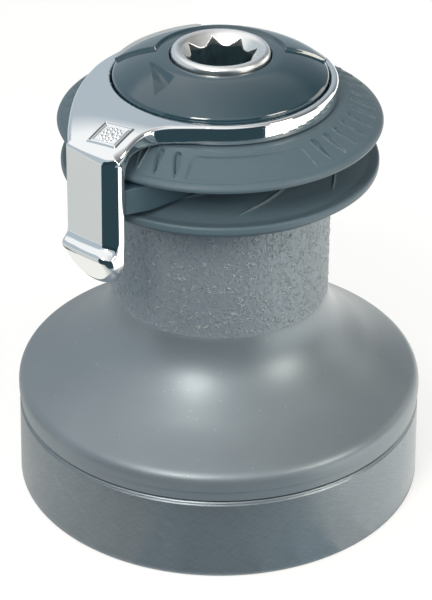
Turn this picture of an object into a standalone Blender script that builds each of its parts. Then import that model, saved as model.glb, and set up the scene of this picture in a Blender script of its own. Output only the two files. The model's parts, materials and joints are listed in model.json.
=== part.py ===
"""A two-speed self-tailing sheet winch, as an assembly of separate pieces.

The origin is the centre of the base's underside and +Z runs up the spindle. The feeder arm stands over
the front left, towards -X and -Y. Lengths below are in millimetres and go to metres as a mesh is made.
"""

from math import atan2, cos, pi, radians, sin, tan, tau

import bmesh
import bpy
from mathutils import Matrix, Vector
from mathutils.geometry import convex_hull_2d

MM = 0.001
GAP = 0.3  # between neighbours that touch
ROUND = 48  # sides of the large turned shapes
INNER_ROUND = 32  # sides of the turned shapes inside
SMALL_ROUND = 12  # sides of pins, screws and holes
SMOOTH_UP_TO = radians(32)

# Base and centre stem
BASE_R = 71.0
BASE_TOP_R = 70.3
BASE_TOP = 29.7
BASE_FLOOR = 5.0
BASE_WALL = 4.2
BASE_BORE_R = 13.4
DECK_BOLT_CIRCLE_R = 56.0
DECK_BOLT_HOLE_R = 3.3
DECK_BOLTS = 5
STEM_R = 24.4
STEM_BORE_R = 20.7
STEM_TOP = 151.5
STEM_FLANGE_R = 38.0
STEM_FLANGE = 3.0
UPPER_FLANGE = (41.0, 45.0)
STEM_SCREW_R = 33.0
STEM_SCREW_HOLE_R = 2.1
STEM_SCREW_ANGLES = (50, 105, 235, 310)

# Drum
DRUM_R = 70.4
GRIP_R = 37.3
DRUM_BOTTOM = 30.3
DRUM_BORE_R = 32.6
DRUM_SHOULDER = 117.0
NECK_R = 30.0
NECK_BORE_R = 25.7
NECK_TOP = 131.0
FLARE_TOP = 75.8

# Jaws
LOWER_JAW_R = 53.0
UPPER_JAW_R = 53.9
JAW_TOP = 144.2
JAW_TOP_R = 41.0
JAW_SCREWS = 4
JAW_SCREW_R = 28.0
JAW_SCREW_HOLE_R = 1.5
JAW_SPRINGS = 6
SPRING_CIRCLE_R = 33.7
SPRING_POCKET_R = 2.4
SPRING_POCKET_BOTTOM = 111.0
SPRING_CEILING = 121.0

# Feeder arm and cap
ARM_AZIMUTH = radians(-40)  # turn from -Y towards -X
ARM_RING_R = 38.5
ARM_RING = (144.6, 151.0)
ARM_OUTER = 63.2
ARM_THICKNESS = 4.8
ARM_WIDTH = 21.0
FOOT_TOP = 117.0
FOOT_BOTTOM = 99.3
FOOT_FLARE = 4.0
CAP_R = 35.6
CAP_TOP = 158.4
KEY_HALF = 2.9

# Spindle
SPINDLE_TOP = 160.7
SPINDLE_HEAD_R = 16.24
SPINDLE_BODY_R = 15.2
SPINDLE_SHAFT_R = 11.9
SPINDLE_FOOT_R = 8.0
SOCKET_SQUARE = 17.5  # across the flats of each of the socket's two squares
SOCKET_BORE_R = 9.95
SOCKET_FLOOR = 134.0
SOCKET_TURN = radians(13)

# Gear train: second speed 4 turns of the handle to one of the drum, first speed 2.33
MODULE = 2.0
PRESSURE = radians(20)
BACKLASH = 0.5
ADDENDUM = 0.85
DEDENDUM = 1.2
RING_TEETH = 42
SPINDLE_TEETH = 12
LAY_TEETH = 16
LAY_PINION_TEETH = 14
FIRST_SPEED_TEETH = 18
IDLER_TEETH = 10
LOW_GEARS = (8.8, 16.8)
MIDDLE_GEARS = (20.0, 27.6)
HIGH_GEARS = (30.8, 38.4)
LAY_R = MODULE * (SPINDLE_TEETH + LAY_TEETH) / 2
IDLER_A_R = MODULE * (FIRST_SPEED_TEETH + IDLER_TEETH) / 2
IDLER_B_R = MODULE * (RING_TEETH - IDLER_TEETH) / 2
IDLER_A_ANGLE = radians(140)
LAY_PIN_R = 4.0
IDLER_PIN_R = 3.0
RATCHET_TEETH = 12
RATCHET_RISE = 1.5
LAY_RATCHET_R = 9.9
PAWL_FOLD = radians(20)
PAWL_TILT = radians(55)


# ---------------------------------------------------------------- scene and materials

def clear_scene():
    for obj in list(bpy.data.objects):
        bpy.data.objects.remove(obj)


def new_collection(name):
    collection = bpy.data.collections.new(name)
    bpy.context.scene.collection.children.link(collection)
    return collection


def material(name, colour, roughness, metallic):
    made = bpy.data.materials.new(name)
    made.use_nodes = True
    made.diffuse_color = (*colour, 1.0)
    shader = made.node_tree.nodes["Principled BSDF"]
    shader.inputs["Base Color"].default_value = (*colour, 1.0)
    shader.inputs["Roughness"].default_value = roughness
    shader.inputs["Metallic"].default_value = metallic
    return made


clear_scene()
PARTS = new_collection("sheet_winch")
CUTTERS = new_collection("cutters")

ANODISED = material("anodised_grey", (0.17, 0.20, 0.22), 0.42, 0.75)
JAW_GREY = material("jaw_grey", (0.10, 0.13, 0.15), 0.50, 0.20)
CHROME = material("chrome", (0.82, 0.83, 0.84), 0.06, 1.00)
STAINLESS = material("stainless", (0.62, 0.62, 0.60), 0.22, 1.00)
CAP_BLACK = material("cap_slate", (0.05, 0.07, 0.08), 0.12, 0.00)
BRONZE = material("bronze", (0.55, 0.40, 0.20), 0.35, 1.00)
GEAR_STEEL = material("gear_steel", (0.45, 0.45, 0.46), 0.35, 1.00)
ACETAL = material("acetal", (0.75, 0.74, 0.70), 0.45, 0.00)
SEAL = material("seal_rubber", (0.03, 0.03, 0.03), 0.60, 0.00)
CASTING = material("stem_casting", (0.42, 0.43, 0.44), 0.55, 0.80)


# ---------------------------------------------------------------- shape helpers

def link(name, mesh, finish, collection=PARTS):
    obj = bpy.data.objects.new(name, mesh)
    collection.objects.link(obj)
    if finish:
        mesh.materials.clear()
        mesh.materials.append(finish)
    return obj


def evaluated_mesh(obj):
    bpy.context.view_layer.update()
    return bpy.data.meshes.new_from_object(obj.evaluated_get(bpy.context.evaluated_depsgraph_get()))


def freeze(obj):
    """Turns the object's modifiers or curve into its mesh, and returns the mesh object."""
    mesh = evaluated_mesh(obj)
    if obj.type == "CURVE":
        weld = bmesh.new()
        weld.from_mesh(mesh)
        bmesh.ops.remove_doubles(weld, verts=weld.verts, dist=1e-6)
        weld.to_mesh(mesh)
        weld.free()
        finish = obj.data.materials[0] if obj.data.materials else None
        name, place, home = obj.name, obj.matrix_world.copy(), obj.users_collection[0]
        bpy.data.objects.remove(obj)
        obj = link(name, mesh, finish, home)
        obj.matrix_world = place
        return obj
    obj.modifiers.clear()
    obj.data = mesh
    return obj


def smooth(obj):
    obj.data.shade_smooth()
    obj.data.set_sharp_from_angle(angle=SMOOTH_UP_TO)


def turned(name, profile, finish, sides=ROUND, collection=PARTS):
    """A closed profile of (radius, height), listed down its outer side, turned about Z."""
    mesh = bpy.data.meshes.new(name)
    points = [(r * MM, 0, z * MM) for r, z in profile]
    ends = [(i, (i + 1) % len(points)) for i in range(len(points))]
    mesh.from_pydata(points, ends, [])
    obj = link(name, mesh, finish, collection)
    screw = obj.modifiers.new("Turn", "SCREW")
    screw.angle = tau
    screw.steps = screw.render_steps = sides
    screw.use_merge_vertices = True
    screw.merge_threshold = 1e-5
    return freeze(obj)


def ring(name, outer_r, inner_r, bottom, top, finish, sides=ROUND, collection=PARTS):
    profile = [(outer_r, top), (outer_r, bottom), (inner_r, bottom), (inner_r, top)]
    return turned(name, profile, finish, sides, collection)


def round_bar(name, radius, bottom, top, finish, at=(0, 0), sides=SMALL_ROUND, collection=PARTS):
    mesh = bpy.data.meshes.new(name)
    shape = bmesh.new()
    bmesh.ops.create_cone(
        shape, cap_ends=True, segments=sides, radius1=radius * MM, radius2=radius * MM,
        depth=(top - bottom) * MM,
        matrix=Matrix.Translation(Vector((at[0], at[1], (top + bottom) / 2)) * MM),
    )
    shape.to_mesh(mesh)
    shape.free()
    return link(name, mesh, finish, collection)


def plate(name, loops, bottom, top, finish, collection=PARTS):
    """Flat outlines, the first outside and any others holes in it, from height bottom to top."""
    curve = bpy.data.curves.new(name, "CURVE")
    curve.dimensions = "2D"
    curve.fill_mode = "BOTH"
    curve.extrude = (top - bottom) / 2 * MM
    for loop in loops:
        spline = curve.splines.new("POLY")
        spline.points.add(len(loop) - 1)
        for point, (x, y) in zip(spline.points, loop):
            point.co = (x * MM, y * MM, 0, 1)
        spline.use_cyclic_u = True
    if finish:
        curve.materials.append(finish)
    obj = bpy.data.objects.new(name, curve)
    obj.location.z = (top + bottom) / 2 * MM
    collection.objects.link(obj)
    return bake_place(freeze(obj))


def box(name, low, high, finish=None, turn=0.0, collection=None):
    """A box from corner low to corner high, turned about Z."""
    mesh = bpy.data.meshes.new(name)
    shape = bmesh.new()
    size = Vector(high) - Vector(low)
    middle = (Vector(high) + Vector(low)) / 2
    place = Matrix.Rotation(turn, 4, "Z") @ Matrix.Translation(middle * MM)
    bmesh.ops.create_cube(shape, size=1, matrix=place @ Matrix.Diagonal((*(size * MM), 1)))
    shape.to_mesh(mesh)
    shape.free()
    return link(name, mesh, finish, collection or CUTTERS)


def bake_place(obj):
    """Puts the object's place into its mesh."""
    bpy.context.view_layer.update()
    obj.data.transform(obj.matrix_world)
    obj.matrix_world = Matrix.Identity(4)
    return obj


def combine(obj, others, operation):
    """Cuts, joins or intersects obj with other objects, which are used up."""
    for other in others:
        change = obj.modifiers.new(operation.title(), "BOOLEAN")
        change.operation = operation
        change.solver = "EXACT"
        change.object = other
        other.hide_render = True
        other.display_type = "WIRE"
    freeze(obj)
    for other in others:
        bpy.data.objects.remove(other)
    return obj


def set_origin(obj, at):
    """Moves the object's origin to a point in millimetres and leaves its shape where it is."""
    point = Vector(at) * MM
    obj.data.transform(Matrix.Translation(-point))
    obj.location = point


def circle(radius, sides, at=(0, 0)):
    steps = [tau * i / sides for i in range(sides)]
    return [(at[0] + radius * cos(a), at[1] + radius * sin(a)) for a in steps]


def polar(radius, angle):
    return (radius * cos(angle), radius * sin(angle))


# ---------------------------------------------------------------- gears

def gear_outline(teeth, first_tooth, at=(0, 0), internal=False):
    """Straight-sided teeth, the first centred at the angle first_tooth. Internal teeth point inwards."""
    pitch_r = MODULE * teeth / 2
    half = pi * MODULE / 4 - BACKLASH / 2
    out = -1 if internal else 1
    tip_r = pitch_r + out * ADDENDUM * MODULE
    root_r = pitch_r - out * DEDENDUM * MODULE
    half_tip = (half - ADDENDUM * MODULE * tan(PRESSURE)) / tip_r
    half_root = half * (1.35 / root_r if internal else 1 / pitch_r)
    outline = []
    for tooth in range(teeth):
        middle = first_tooth + tau * tooth / teeth
        outline.append((root_r, middle - half_root))
        outline.append((tip_r, middle - half_tip))
        outline.append((tip_r, middle + half_tip))
        outline.append((root_r, middle + half_root))
    return [(at[0] + r * cos(a), at[1] + r * sin(a)) for r, a in outline]


def phase(angle, first_tooth, teeth):
    """How far the direction is past a tooth's centre, in tooth pitches."""
    return (angle - first_tooth) / (tau / teeth)


def meshed_outside(direction, first_tooth, teeth, next_teeth):
    """The next gear's first tooth, where it lies in that direction from a gear and meshes with it."""
    past = 0.5 - phase(direction, first_tooth, teeth)
    return direction + pi - past * tau / next_teeth


def meshed_inside(direction, ring_first_tooth, pinion_teeth):
    """The first tooth of a pinion that meshes with the ring gear in that direction."""
    past = phase(direction, ring_first_tooth, RING_TEETH) - 0.5
    return direction - past * tau / pinion_teeth


def ratchet_outline(tip_r, face_angle, hand, at=(0, 0)):
    """Saw teeth on a bore. hand is +1 where the steep faces stop a pawl that points anticlockwise."""
    outline = []
    pitch = tau / RATCHET_TEETH
    for tooth in range(RATCHET_TEETH):
        face = face_angle + hand * tooth * pitch
        outline.append((tip_r, face - hand * pitch * 0.995))
        outline.append((tip_r + RATCHET_RISE, face))
    points = [(at[0] + r * cos(a), at[1] + r * sin(a)) for r, a in outline]
    return points if hand > 0 else points[::-1]


# ---------------------------------------------------------------- pawls

class PawlSeat:
    """Where a pawl sits in its carrier, in the carrier's own polar frame."""

    def __init__(self, centre, pivot_r, pivot_angle, hand, length, half_width):
        self.centre, self.hand, self.length, self.half_width = centre, hand, length, half_width
        self.pivot_angle = pivot_angle
        x, y = polar(pivot_r, pivot_angle)
        self.pivot = (centre[0] + x, centre[1] + y)

    def outline(self, fold, grow=0.0):
        """The pawl's outline, turned in by the angle fold, and larger all round by grow."""
        tilt = self.pivot_angle + self.hand * (PAWL_TILT + fold)
        wide = self.half_width + grow
        back = [tilt + pi / 2 + pi * i / 6 for i in range(7)]
        points = [(self.pivot[0] + wide * cos(a), self.pivot[1] + wide * sin(a)) for a in back]
        reach = self.length + grow
        nose = 0.55 * self.half_width + grow
        for side in (-1, 1):
            x = self.pivot[0] + reach * cos(tilt) + side * nose * cos(tilt + pi / 2)
            y = self.pivot[1] + reach * sin(tilt) + side * nose * sin(tilt + pi / 2)
            points.append((x, y))
        return points

    def pocket(self):
        """An outline that holds the pawl engaged and folded, with room for its spring behind it."""
        points = self.outline(0, 0.35) + self.outline(PAWL_FOLD, 0.95)
        return [points[i] for i in convex_hull_2d([Vector(p) for p in points])]

    def spring(self):
        """A thin leaf between the folded pawl and the pocket's inner wall."""
        tilt = self.pivot_angle + self.hand * (PAWL_TILT + PAWL_FOLD)
        side = tilt + self.hand * pi / 2
        corners = []
        for along, clear in ((0.4, 0.3), (self.length - 0.8, 0.3), (self.length - 0.8, 0.6), (0.4, 0.6)):
            across = self.half_width * (1 - 0.45 * along / self.length) + clear
            x = self.pivot[0] + along * cos(tilt) + across * cos(side)
            y = self.pivot[1] + along * sin(tilt) + across * sin(side)
            corners.append((x, y))
        return corners if self.hand > 0 else corners[::-1]

    def nose_angle(self):
        """The angle, from the carrier's axis, of the nose's leading corner."""
        corners = self.outline(0)[-2:]
        angles = [atan2(y - self.centre[1], x - self.centre[0]) - self.pivot_angle for x, y in corners]
        turns = [(a * self.hand + pi) % tau - pi for a in angles]
        return self.pivot_angle + self.hand * max(turns)


SPINDLE_SEATS = [PawlSeat((0, 0), 8.5, pi * i + radians(60), -1, 5.2, 1.6) for i in range(2)]
LAY_SEATS = [PawlSeat((LAY_R, 0), 7.2, pi * i + radians(90), 1, 4.0, 1.2) for i in range(2)]
RATCHET_CLEARANCE = radians(2.5)


def make_pawls(prefix, seats, bottom, top, carrier, fold):
    """Cuts the pockets in the carrier and makes each seat's spring and its pawl, turned in by fold."""
    pockets = [seat.pocket() for seat in seats]
    cutters = []
    for i, loop in enumerate(pockets):
        cutters.append(plate(f"{prefix}_pocket_{i}", [loop], bottom - GAP, top + GAP, None, CUTTERS))
    combine(carrier, cutters, "DIFFERENCE")
    for i, seat in enumerate(seats, 1):
        pawl = plate(f"{prefix}_pawl_{i}", [seat.outline(fold)], bottom, top, GEAR_STEEL)
        set_origin(pawl, (*seat.pivot, 0))
        plate(f"{prefix}_pawl_spring_{i}", [seat.spring()], bottom + 1, top - 1, STAINLESS)


# ---------------------------------------------------------------- fixed pieces

def make_base():
    wall_bore = BASE_TOP_R - BASE_WALL
    profile = [
        (BASE_TOP_R - 1.6, BASE_TOP), (BASE_TOP_R - 0.5, BASE_TOP - 0.5), (BASE_TOP_R, BASE_TOP - 1.3),
        (BASE_R, 0.5), (BASE_R - 0.5, 0), (BASE_BORE_R, 0), (BASE_BORE_R, BASE_FLOOR),
        (wall_bore, BASE_FLOOR), (wall_bore, BASE_TOP),
    ]
    base = turned("base_housing", profile, ANODISED)
    holes = []
    for i in range(DECK_BOLTS):
        at = polar(DECK_BOLT_CIRCLE_R, tau * i / DECK_BOLTS + pi / 2)
        hole = round_bar(f"deck_hole_{i}", DECK_BOLT_HOLE_R, -1, BASE_FLOOR + 1, None, at, 16, CUTTERS)
        holes.append(hole)
    for i, angle in enumerate(STEM_SCREW_ANGLES):
        at = polar(STEM_SCREW_R, radians(angle))
        hole = round_bar(f"screw_hole_{i}", STEM_SCREW_HOLE_R, 1.5, BASE_FLOOR + 1, None, at, 12, CUTTERS)
        holes.append(hole)
    combine(base, holes, "DIFFERENCE")


def pin_places():
    """Each gear pin's name, radius and place."""
    spread = (IDLER_A_R**2 + IDLER_B_R**2 - (MODULE * IDLER_TEETH) ** 2) / (2 * IDLER_A_R * IDLER_B_R)
    idler_b_angle = IDLER_A_ANGLE + atan2((1 - spread**2) ** 0.5, spread)
    return [
        ("lay_gear_pin", LAY_PIN_R, (LAY_R, 0)),
        ("idler_pin_a", IDLER_PIN_R, polar(IDLER_A_R, IDLER_A_ANGLE)),
        ("idler_pin_b", IDLER_PIN_R, polar(IDLER_B_R, idler_b_angle)),
    ]


def make_stem():
    low = BASE_FLOOR + GAP
    flange_top = low + STEM_FLANGE
    profile = [
        (STEM_R - 1.4, STEM_TOP), (STEM_R - 1.4, 147.8), (STEM_R, 147.8), (STEM_R, UPPER_FLANGE[1]),
        (STEM_FLANGE_R, UPPER_FLANGE[1]), (STEM_FLANGE_R, UPPER_FLANGE[0]), (STEM_R, UPPER_FLANGE[0]),
        (STEM_R, flange_top), (STEM_FLANGE_R, flange_top), (STEM_FLANGE_R, low),
        (STEM_BORE_R, low), (STEM_BORE_R, STEM_TOP),
    ]
    stem = turned("centre_stem", profile, CASTING, INNER_ROUND)
    cutters = []
    pin_hole_bottom, pin_hole_top = BASE_FLOOR - 1, UPPER_FLANGE[1] + 2
    for name, radius, at in pin_places():
        hole = round_bar(name + "_hole", radius + GAP, pin_hole_bottom, pin_hole_top, None, at, 12, CUTTERS)
        cutters.append(hole)
    for i, angle in enumerate(STEM_SCREW_ANGLES):
        at = polar(STEM_SCREW_R, radians(angle))
        hole_bottom, hole_top = BASE_FLOOR - 1, flange_top + 1.7
        hole = round_bar(f"stem_hole_{i}", STEM_SCREW_HOLE_R, hole_bottom, hole_top, None, at, 12, CUTTERS)
        cutters.append(hole)
    windows = [(0, 16.8, flange_top + 0.1), (IDLER_A_ANGLE, 12.0, 19.0), (radians(178.2), 12.5, 19.0)]
    for i, (angle, half_width, bottom) in enumerate(windows):
        low_corner = (2, -half_width, bottom)
        high_corner = (40, half_width, UPPER_FLANGE[0] - 0.1)
        cutters.append(box(f"window_{i}", low_corner, high_corner, turn=angle))
    slot = KEY_HALF + GAP
    low_corner, high_corner = (-slot, -STEM_R - 2, 144.3), (slot, -STEM_R + 2.2, 152)
    cutters.append(box("key_slot", low_corner, high_corner, turn=pi / 2))
    combine(stem, cutters, "DIFFERENCE")


def make_stem_screws():
    head = BASE_FLOOR + GAP + STEM_FLANGE + GAP
    profile = [(2.9, head + 3), (2.9, head), (1.8, head), (1.8, 2.0), (0.0, 2.0), (0.0, head + 1.2),
               (1.3, head + 1.2), (1.3, head + 3)]
    for i, angle in enumerate(STEM_SCREW_ANGLES, 1):
        screw = turned(f"stem_screw_{i}", profile, STAINLESS, 10)
        screw.location = Vector((*polar(STEM_SCREW_R, radians(angle)), 0)) * MM


def make_pins():
    for name, radius, at in pin_places():
        round_bar(name, radius, BASE_FLOOR + GAP, 44.8, STAINLESS, at, 12)


def make_bushes():
    profile = [(15.0, 7.2), (15.0, 5.6), (13.0, 5.4), (13.0, 0.6), (8.4, 0.6), (8.4, 7.2)]
    turned("lower_spindle_bush", profile, ACETAL, 24)
    ring("middle_spindle_bush", STEM_BORE_R - GAP, SPINDLE_SHAFT_R + 0.2, 41, 48, ACETAL, 24)
    ring("upper_spindle_bush", STEM_BORE_R - GAP, SPINDLE_BODY_R + 0.2, 130, 140, ACETAL, 24)


def make_bearings():
    ring("lower_thrust_washer", 31.8, STEM_R + GAP, 45.4, 47.2, BRONZE, INNER_ROUND)
    ring("bearing_spacer", 27.0, STEM_R + GAP, 63.0, 94.5, ACETAL, INNER_ROUND)
    ring("upper_thrust_washer", 31.8, STEM_R + GAP, 109.6, 111.0, BRONZE, INNER_ROUND)
    for name, bottom in (("lower_bearing", 47.8), ("upper_bearing", 95.0)):
        make_caged_rollers(name, bottom, bottom + 14.4)


def make_caged_rollers(name, bottom, top):
    """A cage and its rollers in one body, as the bearing is handled."""
    cage = ring(name, 29.9, 27.1, bottom, top, ACETAL, INNER_ROUND)
    rollers = []
    for i in range(8):
        at = polar(28.5, tau * i / 8)
        rollers.append(round_bar(f"{name}_roller_{i}", 3.75, bottom + 1.2, top - 1.2, None, at, 8, CUTTERS))
    combine(cage, rollers, "UNION")


# ---------------------------------------------------------------- drum and jaws

def cubic(start, start_pull, end_pull, end, steps):
    """Points along a cubic curve, without its start."""
    points = []
    for i in range(1, steps + 1):
        t = i / steps
        weights = ((1 - t) ** 3, 3 * (1 - t) ** 2 * t, 3 * (1 - t) * t**2, t**3)
        ends = (start, start_pull, end_pull, end)
        points.append(tuple(sum(w * p[axis] for w, p in zip(weights, ends)) for axis in (0, 1)))
    return points


def skirt_profile():
    """From the grip's lower end out to the skirt's shoulder and down to the lip."""
    flare = cubic((GRIP_R, FLARE_TOP), (GRIP_R, 62.0), (45.0, 56.2), (53.2, 49.6), 6)
    slope = cubic((53.2, 49.6), (58.0, 45.8), (64.0, 42.6), (67.4, 40.7), 3)
    shoulder = cubic((67.4, 40.7), (69.4, 39.6), (DRUM_R, 38.4), (DRUM_R, 35.6), 3)
    return flare + slope + shoulder


def make_drum():
    profile = [(NECK_R, NECK_TOP), (NECK_R, DRUM_SHOULDER), (GRIP_R - 0.8, DRUM_SHOULDER),
               (GRIP_R, DRUM_SHOULDER - 0.8), (GRIP_R, FLARE_TOP)]
    profile += skirt_profile()
    profile += [
        (DRUM_R, 34.0), (DRUM_R - 0.4, 33.8), (DRUM_R - 0.4, DRUM_BOTTOM),
        (65.0, DRUM_BOTTOM), (60.0, 38.6), (52.6, DRUM_BOTTOM),
        (48.3, DRUM_BOTTOM), (48.3, 38.9), (41.0, 38.9), (41.0, 46.4), (DRUM_BORE_R, 46.4),
        (DRUM_BORE_R, 111.6), (NECK_BORE_R, 111.6), (NECK_BORE_R, NECK_TOP),
    ]
    drum = turned("drum", profile, ANODISED)
    holes = []
    for i in range(JAW_SPRINGS):
        at = polar(SPRING_CIRCLE_R, tau * i / JAW_SPRINGS)
        bottom, top = SPRING_POCKET_BOTTOM, DRUM_SHOULDER + 1
        holes.append(round_bar(f"spring_pocket_{i}", SPRING_POCKET_R, bottom, top, None, at, 8, CUTTERS))
    for i, at in enumerate(jaw_screw_places()):
        bottom, top = NECK_TOP - 8, NECK_TOP + 1
        holes.append(round_bar(f"jaw_thread_{i}", JAW_SCREW_HOLE_R, bottom, top, None, at, 8, CUTTERS))
    combine(drum, holes, "DIFFERENCE")


def jaw_screw_places():
    return [polar(JAW_SCREW_R, tau * (i + 0.5) / JAW_SCREWS) for i in range(JAW_SCREWS)]


def make_lower_jaw():
    profile = [
        (51.6, 123.3), (LOWER_JAW_R, 122.2), (LOWER_JAW_R, 120.4), (50.0, 118.2), (42.0, 115.0),
        (39.4, 113.6), (GRIP_R + 0.6, 113.6), (GRIP_R + 0.6, SPRING_CEILING),
        (NECK_R + 0.4, SPRING_CEILING), (NECK_R + 0.4, 127.2), (34.0, 127.2), (42.0, 124.4), (49.0, 122.6),
    ]
    turned("lower_jaw", profile, JAW_GREY)


def make_upper_jaw():
    bottom, rim, bore, collar = NECK_TOP + GAP, 137.0, NECK_BORE_R + 0.1, NECK_R + 1
    profile = [
        (JAW_TOP_R, JAW_TOP), (42.0, 143.8), (52.4, 138.2), (53.5, 137.3), (UPPER_JAW_R, 136.4),
        (53.5, 135.6), (51.6, 135.2), (34.0, 132.2), (collar, bottom), (bore, bottom), (bore, rim),
        (collar, rim), (collar, JAW_TOP),
    ]
    jaw = turned("upper_jaw", profile, JAW_GREY)
    holes = []
    for i, at in enumerate(jaw_screw_places()):
        holes.append(round_bar(f"jaw_hole_{i}", JAW_SCREW_HOLE_R, NECK_TOP - 1, rim + 1, None, at, 8, CUTTERS))
    combine(jaw, holes, "DIFFERENCE")


def make_jaw_screws():
    profile = [(2.1, 139.0), (2.1, 137.3), (1.2, 137.3), (1.2, 124.0), (0.0, 124.0), (0.0, 139.0)]
    for i, at in enumerate(jaw_screw_places(), 1):
        screw = turned(f"jaw_screw_{i}", profile, STAINLESS, 10)
        screw.location = Vector((*at, 0)) * MM


def make_jaw_springs():
    wire_r, coil_r, turns, per_turn = 0.4, 1.5, 3, 6
    bottom, top = SPRING_POCKET_BOTTOM + GAP + wire_r, SPRING_CEILING - GAP - wire_r
    for i in range(JAW_SPRINGS):
        curve = bpy.data.curves.new(f"jaw_spring_{i + 1}", "CURVE")
        curve.dimensions = "3D"
        curve.bevel_depth = wire_r * MM
        curve.bevel_resolution = 1
        curve.use_fill_caps = True
        spline = curve.splines.new("POLY")
        spline.points.add(turns * per_turn)
        for k, point in enumerate(spline.points):
            x, y = polar(coil_r, tau * k / per_turn)
            z = bottom + (top - bottom) * k / (turns * per_turn)
            point.co = (x * MM, y * MM, z * MM, 1)
        curve.materials.append(STAINLESS)
        spring = bpy.data.objects.new(f"jaw_spring_{i + 1}", curve)
        spring.location = Vector((*polar(SPRING_CIRCLE_R, tau * i / JAW_SPRINGS), 0)) * MM
        PARTS.objects.link(spring)
        freeze(spring)


# ---------------------------------------------------------------- feeder arm, stripper and cap

def make_arm():
    """The ring, the web, the leg and its foot, made with the leg towards -Y and then turned."""
    bottom, top = ARM_RING
    disc = [
        (ARM_RING_R - 1.9, top), (ARM_RING_R - 0.6, top - 0.3), (ARM_RING_R, top - 1.0), (ARM_RING_R, bottom),
        (0.0, bottom), (0.0, top),
    ]
    arm = turned("feeder_arm", disc, CHROME)
    half = ARM_WIDTH / 2
    inner = ARM_OUTER - ARM_THICKNESS
    web_plan = [
        (-38.2, -4.0), (-37.4, -16.0), (-34.5, -26.2), (-29.1, -37.5), (-22.8, -47.0), (-15.6, -56.0),
        (-half, -61.5), (-half, 1 - ARM_OUTER), (1 - half, -ARM_OUTER), (half - 1, -ARM_OUTER),
        (half, 1 - ARM_OUTER), (9.6, -57.0), (8.4, -50.0), (8.8, -45.0), (11.4, -40.6), (16.0, -36.6),
        (24.0, -29.6), (0.0, -20.0),
    ]
    web = plate("arm_web", [web_plan], bottom + 0.3, 148.6, None, CUTTERS)
    slack = 0.1  # keeps the joined shapes' faces from lying in one plane
    leg = box("arm_leg", (slack - half, slack - ARM_OUTER, FOOT_TOP - 2), (half - slack, -inner, 147.0))
    for piece in (web, leg, make_foot(half - 2 * slack, inner + slack)):
        combine(arm, [piece], "UNION")
    bore, room = STEM_R + GAP, CAP_R + GAP
    cap_room = [
        (room, top + 1), (room, 147.9), (bore, 147.6), (bore, bottom - 1), (0.0, bottom - 1), (0.0, top + 1),
    ]
    combine(arm, [turned("cap_room", cap_room, None, ROUND, CUTTERS)], "DIFFERENCE")
    arm.data.transform(Matrix.Rotation(ARM_AZIMUTH, 4, "Z"))
    slot = KEY_HALF + GAP
    key_slot = box("arm_key_slot", (-slot, -STEM_R - 2.6, 143), (slot, -STEM_R + 4, 153), turn=pi / 2)
    combine(arm, [key_slot], "DIFFERENCE")


def make_foot(half, inner):
    """The leg's end: a beaded lip over a rounded tongue that leans in towards the drum."""
    outer = ARM_OUTER - 0.2
    lip = ARM_OUTER + FOOT_FLARE
    side = [
        (-outer, FOOT_TOP), (1.0 - lip, FOOT_TOP - 3.4), (-lip, FOOT_TOP - 5.6), (0.6 - lip, FOOT_TOP - 7.6),
        (-inner - 2.6, FOOT_BOTTOM), (-inner, FOOT_BOTTOM), (-inner, FOOT_TOP),
    ]
    foot = plate("arm_foot", [side], -half, half, None, CUTTERS)
    foot.data.transform(Matrix(((0, 0, 1, 0), (1, 0, 0, 0), (0, 1, 0, 0), (0, 0, 0, 1))))
    tongue_top = FOOT_TOP - 7.0
    rise = tongue_top - FOOT_BOTTOM
    tongue = [(half + 1, FOOT_TOP + 1), (-half - 1, FOOT_TOP + 1)]
    for i in range(9):
        angle = pi + pi * i / 8
        tongue.append((half * cos(angle) * 1.02, tongue_top + rise * sin(angle)))
    front = plate("arm_tongue", [tongue], 40, 80, None, CUTTERS)
    front.data.transform(Matrix(((1, 0, 0, 0), (0, 0, -1, 0), (0, 1, 0, 0), (0, 0, 0, 1))))
    return combine(foot, [front], "INTERSECT")


def make_arm_fixings():
    low, high = (-KEY_HALF, -STEM_R - 2.3, 144.7), (KEY_HALF, -STEM_R + 1.9, 147.4)
    box("arm_key", low, high, STAINLESS, pi / 2, PARTS)
    ring("arm_nut", 28.6, STEM_R - 1.1, 148.1, 151.2, STAINLESS, 24)


def make_stripper():
    outer = ARM_OUTER - ARM_THICKNESS - GAP
    profile = [
        (outer, 134.5), (outer, 124.6), (50.0, 123.9), (42.4, 124.9), (34.4, 127.8), (32.6, 128.0),
        (32.6, 131.4), (50.0, 134.5),
    ]
    wedge = turned("rope_stripper", profile, JAW_GREY)
    plan = [(-5.5, -31.0), (-6.0, -36.0), (-30.0, -49.8), (-41.8, -39.4), (-32.0, -10.0), (-20.0, -14.0)]
    combine(wedge, [plate("stripper_plan", [plan], 120, 140, None, CUTTERS)], "INTERSECT")


def make_cap():
    start, bore = (19.6, CAP_TOP), SPINDLE_HEAD_R + 0.5
    profile = [
        start, *cubic(start, (26.0, 157.6), (32.0, 154.6), (34.6, 151.9), 4), (CAP_R - 0.1, 151.5),
        (CAP_R - 0.1, 149.9), (33.6, 149.9), (33.0, 151.4), (30.0, 152.6), (18.4, 155.6), (bore, 155.6),
        (bore, CAP_TOP),
    ]
    turned("top_cap", profile, CAP_BLACK)
    ring("cap_seal", CAP_R - 0.1, 33.2, 148.3, 149.6, SEAL, INNER_ROUND)


# ---------------------------------------------------------------- spindle and gears

def socket_outline():
    """Two squares an eighth of a turn apart, with their inner corners bored out to a circle."""
    corner_r = SOCKET_SQUARE / 2 * 2**0.5
    flat = SOCKET_SQUARE / 2
    bored = (SOCKET_BORE_R**2 - flat**2) ** 0.5
    outline = []
    for i in range(8):
        tip = SOCKET_TURN + tau * i / 8
        outline.append(polar(corner_r, tip))
        land = atan2(bored, flat)
        outline.append(polar(SOCKET_BORE_R, tip + pi / 4 - land))
        outline.append(polar(SOCKET_BORE_R, tip + land))
    return outline


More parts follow.
